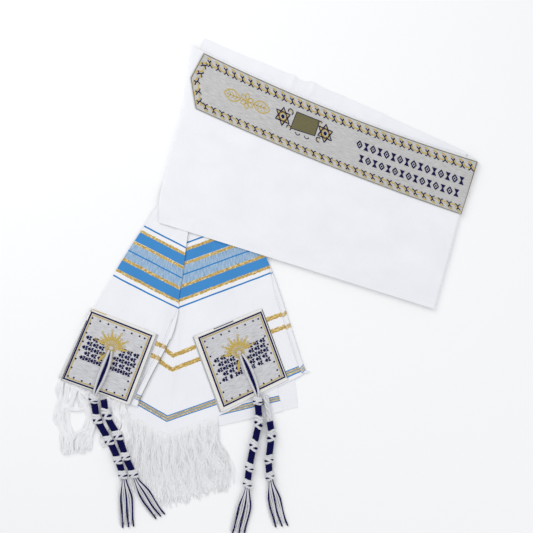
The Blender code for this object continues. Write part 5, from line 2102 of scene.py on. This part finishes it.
def tassel_cords(label):
    """All the white and navy cords of one tassel."""
    path = TasselPath(label)
    white, navy = [], []
    done = 0.0
    for place, (kind, length) in enumerate(TASSEL_WRAPS[label]):
        if kind == "loop":
            loop_cords(path, done, length, white, navy)
        elif kind == "bare":
            run = np.linspace(0, 1, 30)
            for k in range(3):
                turn = 2 * math.pi * (1.3 * run + k / 3)
                spots = done - 1 + (length + 3) * run
                white.append(path.cord(spots, 2.3 * np.sin(turn), 3.9 + 1.5 * np.cos(turn), 1.85))
        elif kind == "winding":
            white += straight_cords(path, done - 2, length + 4, (-1.2, 1.2), 3.6)
            navy.append(winding(path, done, length))
        elif kind == "knot":
            knot_cords(path, done, length, white, navy, 1 if place % 2 else -1)
        done += length
    spread, reach, drift = TASSEL_ENDS[label]
    level = 0.0 if label == "right_lower" else FRINGE_LEVEL
    for k in range(END_CORDS):
        place = 2.5 * (k - (END_CORDS - 1) / 2)
        run = np.linspace(-0.08, 1, 26)
        out = np.clip(run, 0, 1)
        fan = place * (0.34 + 0.66 * smooth_step(out * 2.2)) * (1 + spread * out)
        sway = 1.0 * np.sin(out * 7 + k * 1.7) * out
        height = 3.4 + (1.35 - 3.4) * smooth_step((out - 0.1) * 1.8)
        length = reach * (0.93 + 0.06 * math.sin(k * 2.1))
        cord = path.cord(done + length * run, fan + sway + drift * out * out, height)
        cord[:, 2] = level * (1 - smooth_step((out - 0.6) / 0.4)) + SEAM + height
        (navy if k % 3 == 1 else white).append(cord)
    return white, navy


for label in TASSEL_PATHS:
    white, navy = tassel_cords(label)
    name = "tassel_cords_" + label
    piece = joined_piece(
        name,
        [
            sweep_threads(name + "_white", white, CORD, 7, white_cord),
            sweep_threads(name + "_navy", navy, CORD, 7, navy_cord),
        ],
    )
    side, level = label.split("_")
    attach(piece, "root")
    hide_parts(f"tassel_{side}_{level}")
    print(name, "faces:", len(piece.data.polygons))

# %% [markdown]
# ## What each sheet was cut to
# The flat size that was cut is printed for every sheet of cloth. A sheet's own grid gives it: the mean
# length along and across, and the area of its upper face.

# %% Flat sizes
def flat_size(rows, columns, piece):
    """Width, length and area in metres of a grid piece's upper face."""
    points = np.empty(len(piece.data.vertices) * 3)
    piece.data.vertices.foreach_get("co", points)
    grid = points.reshape(-1, 3)[: (rows + 1) * (columns + 1)].reshape(rows + 1, columns + 1, 3)
    width = np.linalg.norm(np.diff(grid, axis=1), axis=2).sum(axis=1).max()
    length = np.linalg.norm(np.diff(grid, axis=0), axis=2).sum(axis=0).max()
    a, b = grid[1:, 1:] - grid[:-1, :-1], grid[1:, :-1] - grid[:-1, 1:]
    area = 0.5 * np.linalg.norm(np.cross(a, b), axis=2).sum()
    return float(width), float(length), float(min(area, width * length))


SheetRow = namedtuple("SheetRow", "piece rows columns held rests_on trims")
body_columns = body_inner.shape[1] - 1
left_trims = patch_trims["left_patch"] + [fold_left]
right_trims = patch_trims["right_patch"] + [fold_right]
SHEET_ROWS = [
    SheetRow(body_piece, BODY_LINES - 1, body_columns, "folded", ["folded_layers"], []),
    SheetRow(rear_piece, 180, 24, "folded", ["body_cloth"], []),
    SheetRow(right_under_piece, 120, 50, "folded", ["body_cloth"], []),
    SheetRow(right_fold_piece, 120, 44, "folded", ["right_end_under_cloth"], []),
    SheetRow(right_piece, 130, 88, "folded", ["right_end_under_cloth"], [middle_fringe]),
    SheetRow(left_under_piece, 120, 40, "folded", ["body_cloth"], [left_fringe]),
    SheetRow(left_piece, 140, 50, "folded", ["left_end_under_cloth"], []),
    SheetRow(hem_left_piece, HEM_ROWS, 5, "folded", ["left_end_cloth"], []),
    SheetRow(hem_right_piece, HEM_ROWS, 5, "folded", ["right_end_cloth"], []),
    SheetRow(band_piece, BAND_ROWS, BAND_COLUMNS + BAND_ROLL_COLUMNS, "laid", ["body_cloth"], band_trims),
    SheetRow(patch_left_piece, 64, 60, "laid", ["left_end_cloth"], left_trims),
    SheetRow(patch_under_piece, 50, 50, "laid", ["left_end_under_cloth"], under_ribs),
    SheetRow(patch_right_piece, 66, 66, "laid", ["right_end_cloth"], right_trims),
]
for row in SHEET_ROWS:
    width, length, area = flat_size(row.rows, row.columns, row.piece)
    print(row.piece.name, "cut, m:", round(width, 3), "by", round(length, 3), "area", round(area, 4))
